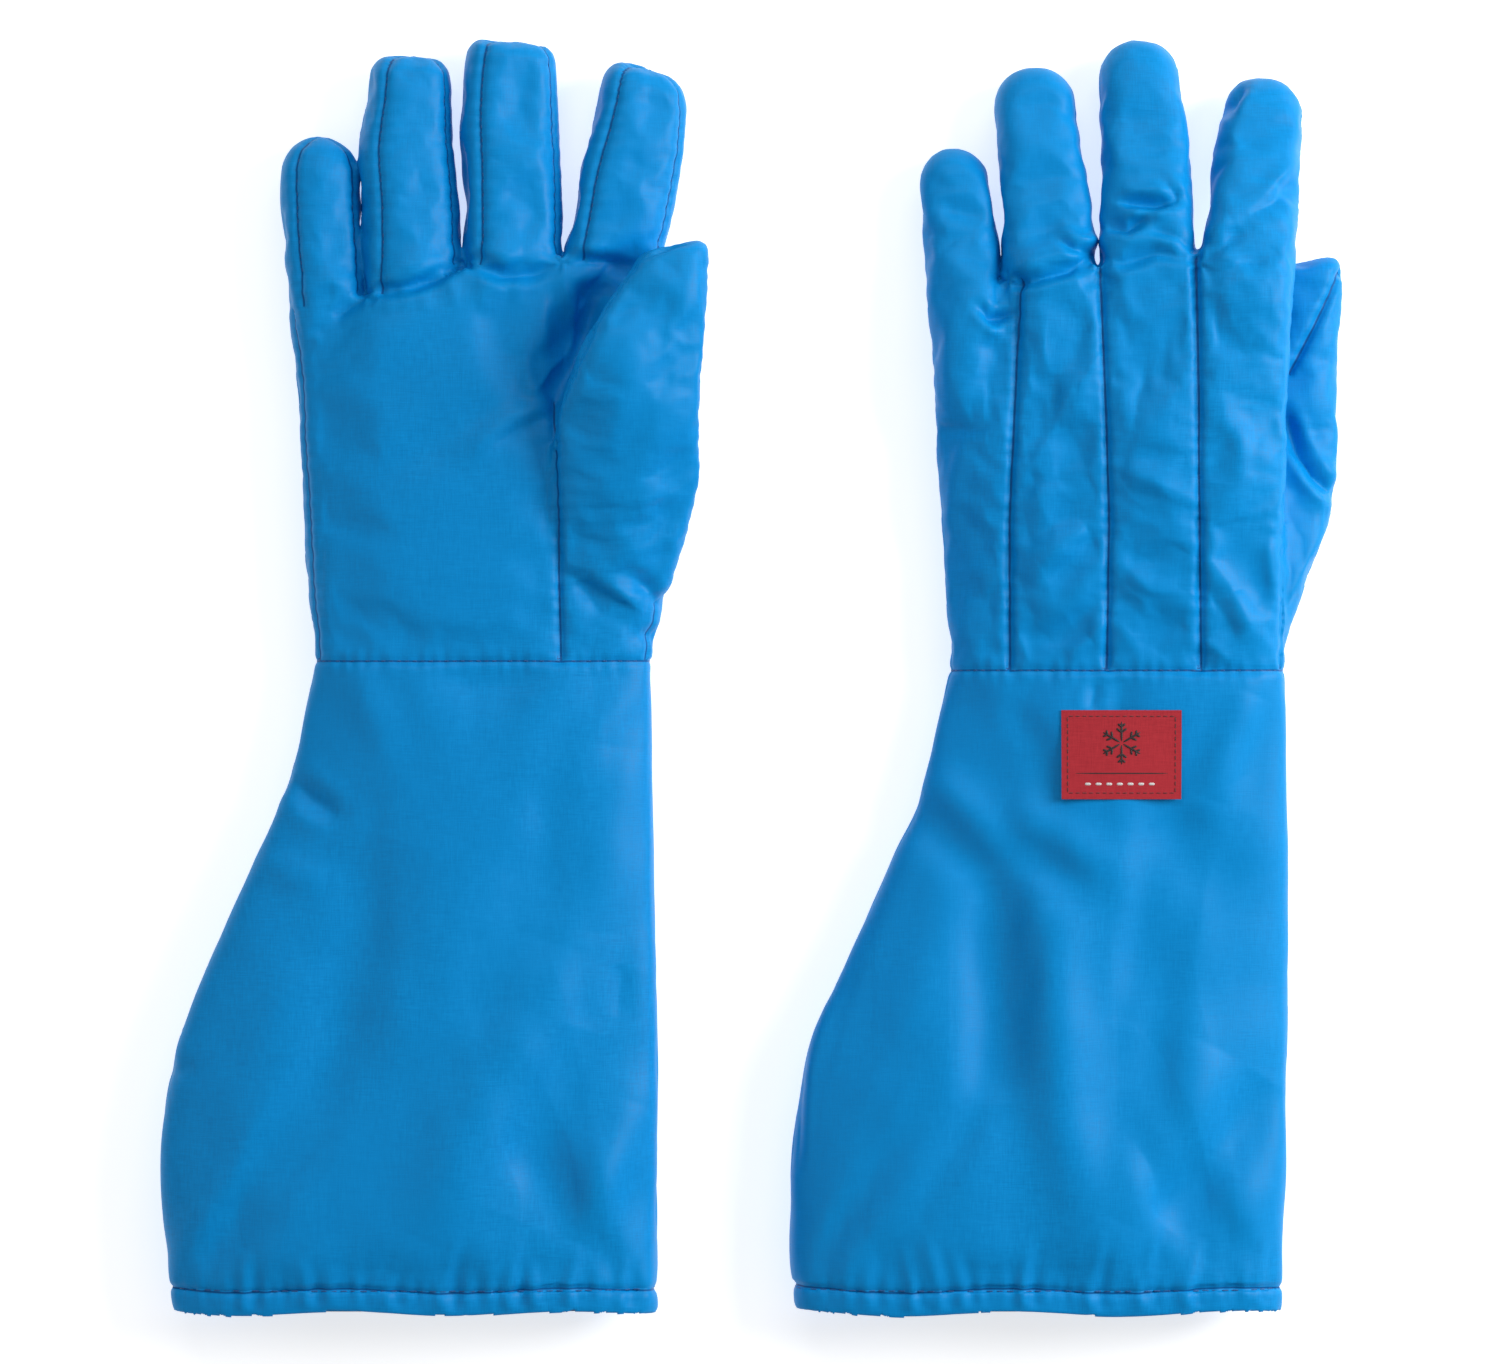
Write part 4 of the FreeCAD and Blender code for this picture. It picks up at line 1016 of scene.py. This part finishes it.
class Label:
    """A flat ribbon laid on the sleeve's back, with places on it given across, along and above."""

    def __init__(self, form):
        low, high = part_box(f"{form.glove}_label")
        self.face = -form.sign
        self.centre = ((low[0] + high[0]) / 2 / MM, (low[1] + high[1]) / 2 / MM)
        self.half = ((high[0] - low[0]) / 2 / MM, (high[1] - low[1]) / 2 / MM)
        points = []
        for s in np.linspace(-1, 1, 15):
            for t in np.linspace(-1, 1, 11):
                x, y = self.centre[0] + s * self.half[0], self.centre[1] + t * self.half[1]
                start = Vector((x * MM, y * MM, self.face * 0.2))
                hit = form.tree.ray_cast(start, Vector((0, 0, -self.face)))
                if hit[0]:
                    points.append((x - self.centre[0], y - self.centre[1], hit[0].z / MM))
        p = np.array(points)
        x, y = p[:, 0], p[:, 1]
        terms = np.stack([np.ones(len(p)), x, y, x ** 2, x * y, y ** 2], 1)
        self.fit = np.linalg.lstsq(terms, p[:, 2], rcond=None)[0]
        above = (p[:, 2] - terms @ self.fit) * self.face
        self.lift = float(above.max()) + 0.05

    def at(self, x, y, up):
        """A place on the ribbon, given from its middle and above its face."""
        z = self.fit @ [1, x, y, x * x, x * y, y * y] + self.face * (self.lift + up)
        return np.array([self.centre[0] + x, self.centre[1] + y, max(z, 0.25) if self.face < 0 else z])

    def sheet(self, name, s0, s1, t0, t1, up, thick, material, nx, ny):
        """A closed sheet that follows the sleeve, of nx by ny quads a side."""
        verts, faces = [], []
        for side in (up + thick, up):
            for j in range(ny + 1):
                for i in range(nx + 1):
                    verts.append(self.at(s0 + (s1 - s0) * i / nx, t0 + (t1 - t0) * j / ny, side) * MM)
        plane = (nx + 1) * (ny + 1)
        for j in range(ny):
            for i in range(nx):
                a = j * (nx + 1) + i
                quad = (a, a + 1, a + nx + 2, a + nx + 1)
                faces.append(quad)
                faces.append(tuple(reversed([q + plane for q in quad])))
        row = nx + 1
        rim = (list(range(row)) + [(j + 1) * row - 1 for j in range(1, ny + 1)]
               + [ny * row + i for i in reversed(range(nx))] + [j * row for j in reversed(range(1, ny))])
        for a, b in zip(rim, rim[1:] + rim[:1]):
            faces.append((b, a, a + plane, b + plane))
        if self.face < 0:
            faces = [tuple(reversed(face)) for face in faces]
        return dress(cloth_object(name, verts, faces, smooth=False), material)

    def bars(self, name, lines, width, height, material):
        """Raised satin stitch: rounded bars between pairs of places."""
        verts, faces = [], []
        count, steps = 10, 8
        for (s0, t0), (s1, t1) in lines:
            length = math.hypot(s1 - s0, t1 - t0)
            ds, dt = (s1 - s0) / length, (t1 - t0) / length
            base = len(verts)
            for i in range(steps + 1):
                share = i / steps
                size = min(1.0, 0.45 + 3 * min(share, 1 - share))
                s, t = s0 + (s1 - s0) * share, t0 + (t1 - t0) * share
                for k in range(count):
                    turn = math.pi * k / (count - 1)
                    off, rise = math.cos(turn) * width / 2 * size, math.sin(turn) * height * size
                    verts.append(self.at(s - dt * off, t + ds * off, rise) * MM)
            faces.extend(tube_faces(base, steps + 1, count))
        if self.face < 0:
            faces = [tuple(reversed(face)) for face in faces]
        return dress(cloth_object(name, verts, faces), material)


def snowflake(middle, arm):
    """The lines of a six-armed flake round a point up the label: each arm has two pairs of twigs."""
    def out(x, y, turn, reach):
        return x + math.cos(turn) * reach, y + math.sin(turn) * reach

    lines = []
    for k in range(6):
        turn = math.radians(90 + 60 * k)
        lines.append((out(0.0, middle, turn, 0.4), out(0.0, middle, turn, arm)))
        for share, reach in ((0.48, 0.30), (0.74, 0.22)):
            foot = out(0.0, middle, turn, arm * share)
            for lean in (-1, 1):
                lines.append((foot, out(*foot, turn + lean * math.radians(52), arm * reach)))
    return lines


def make_label(form):
    """A red woven ribbon with a stitched border, a snowflake, and a plain woven line below it."""
    label = Label(form)
    g, (hs, ht) = form.glove, label.half
    thick, inset, step = 0.45, 2.3, 2.4
    ribbon = label.sheet(f"{g}_label_ribbon", -hs, hs, -ht, ht, 0.0, thick, RIBBON, 24, 18)
    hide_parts(f"{g}_label")
    a, b = hs - inset, ht - inset
    corners = [(-a, -b), (a, -b), (a, b), (-a, b), (-a, -b)]
    border = []
    for (s0, t0), (s1, t1) in zip(corners, corners[1:]):
        count = int(math.hypot(s1 - s0, t1 - t0) / step)
        border.append([label.at(s0 + (s1 - s0) * i / count, t0 + (t1 - t0) * i / count, thick)
                       for i in range(count + 1)])
    parts = [ribbon, dress(stitches(f"{g}_label_border_thread", border, 1.7, 0.22), RED_THREAD)]
    line = [((-hs + 0.8, -ht * 0.42), (hs - 0.8, -ht * 0.42))]
    parts.append(label.bars(f"{g}_label_dividing_line", line, 0.7, 0.62, DARK_THREAD))
    flake = snowflake(ht * 0.26, ht * 0.50)
    parts.append(label.bars(f"{g}_label_snowflake", flake, 1.0, 0.85, DARK_THREAD))
    low = -ht * 0.66
    dashes = [((s, low), (s + 2.6, low)) for s in np.arange(-hs * 0.62, hs * 0.62 - 2.0, 4.0)]
    parts.append(label.bars(f"{g}_label_white_dashes", dashes, 1.3, 0.72, WHITE_THREAD))
    for part in parts:
        follow(part, g, "sleeve")


def make_glove(glove):
    """Builds one glove: its form, its panels of cloth, lining, label and threads."""
    form = Form(glove)
    form.inflate()
    form.detail()
    form.tree = BVHTree.FromPolygons([tuple(v) for v in form.co * MM],
                                     [tuple(p.vertices) for p in form.obj.data.polygons])
    pieces = form.cut()
    for name, obj in pieces.items():
        if name == "hem":
            thicken(obj, HEM_THICK)
        dress(obj, NYLON)
        nodes = REPLACED.get(name, (name,))
        if name.endswith("front_panel"):
            nodes = (name, name.replace("front_panel", "liner"))
        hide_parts(*[f"{glove}_{node}" for node in nodes])
        zone = name.split("_")[0] if name.endswith(("front_panel", "back_panel")) else (
            "sleeve" if name in ("sleeve", "hem") else "hand")
        follow(obj, glove, zone)
        obj.name = f"{glove}_{name}_cloth"
    lining = dress(make_lining(form), LINING)
    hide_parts(f"{glove}_sleeve_lining")
    follow(lining, glove, "sleeve")
    make_label(form)
    for name, y, step, length, radius in (("hem", MOUTH + HEM, 3.8, 2.5, 0.25),
                                          ("wrist", GLOVES[glove]["wrist"], 3.0, 1.6, 0.2)):
        row = stitches(f"{glove}_{name}_thread", [form.ring(y, step)], length, radius)
        follow(dress(row, BLUE_THREAD), glove, "sleeve")
    for digit in DIGITS:
        paths = [form.digit_seam(digit, corner, max(start, BENDS[glove][digit][1] + 3), 2.6)
                 for corner, start in zip(front_corners(glove, digit), SEAM_STARTS[glove][digit])]
        seam = dress(stitches(f"{glove}_{digit}_seam_thread", paths, 1.4, 0.15), BLUE_THREAD)
        follow(seam, glove, digit)
    bpy.data.objects.remove(form.obj)


for glove in GLOVES:
    make_glove(glove)


# ---------------------------------------------------------------- stage
def area_light(name, size, power, place):
    """A soft rectangular light that points at the middle of the pair."""
    data = bpy.data.lights.new(name, "AREA")
    data.shape, data.size, data.size_y = "RECTANGLE", size[0], size[1]
    data.energy = power
    obj = bpy.data.objects.new(name, data)
    obj.location = place
    obj.rotation_euler = (-Vector(place)).to_track_quat("-Z", "Y").to_euler()
    bpy.context.collection.objects.link(obj)


REACH = 9.0
floor = new_object("floor", [(-REACH, -REACH, 0), (REACH, -REACH, 0), (REACH, REACH, 0), (-REACH, REACH, 0)],
                   [(0, 1, 2, 3)])
paint = Nodes("pale_floor")
floor.data.materials.append(paint.set(Base_Color=(0.90, 0.90, 0.90, 1), Roughness=0.9, Specular_IOR_Level=0.1,
                                      Emission_Color=(1, 1, 1, 1), Emission_Strength=0.58))

area_light("key", (0.7, 1.2), 30, (1.5, 0.45, 0.95))
area_light("fill", (1.4, 1.4), 3, (-1.2, -0.3, 1.3))
area_light("top", (1.6, 0.8), 9, (0.0, 1.4, 1.5))
world = bpy.data.worlds.new("studio")
world.use_nodes = True
world.node_tree.nodes["Background"].inputs["Color"].default_value = (0.95, 0.97, 1.0, 1)
world.node_tree.nodes["Background"].inputs["Strength"].default_value = 0.28
bpy.context.scene.world = world

camera_data = bpy.data.cameras.new("camera")
camera_data.sensor_width, camera_data.lens = 36, 126.3
camera = bpy.data.objects.new("camera", camera_data)
low, high = cad_box
camera.location = ((low[0] + high[0]) / 2 - 0.0004, (low[1] + high[1]) / 2 - 0.0015, 2.019)
bpy.context.collection.objects.link(camera)
bpy.context.scene.camera = camera
bpy.context.scene.view_settings.view_transform = "Standard"
bpy.context.scene.view_settings.look = "None"
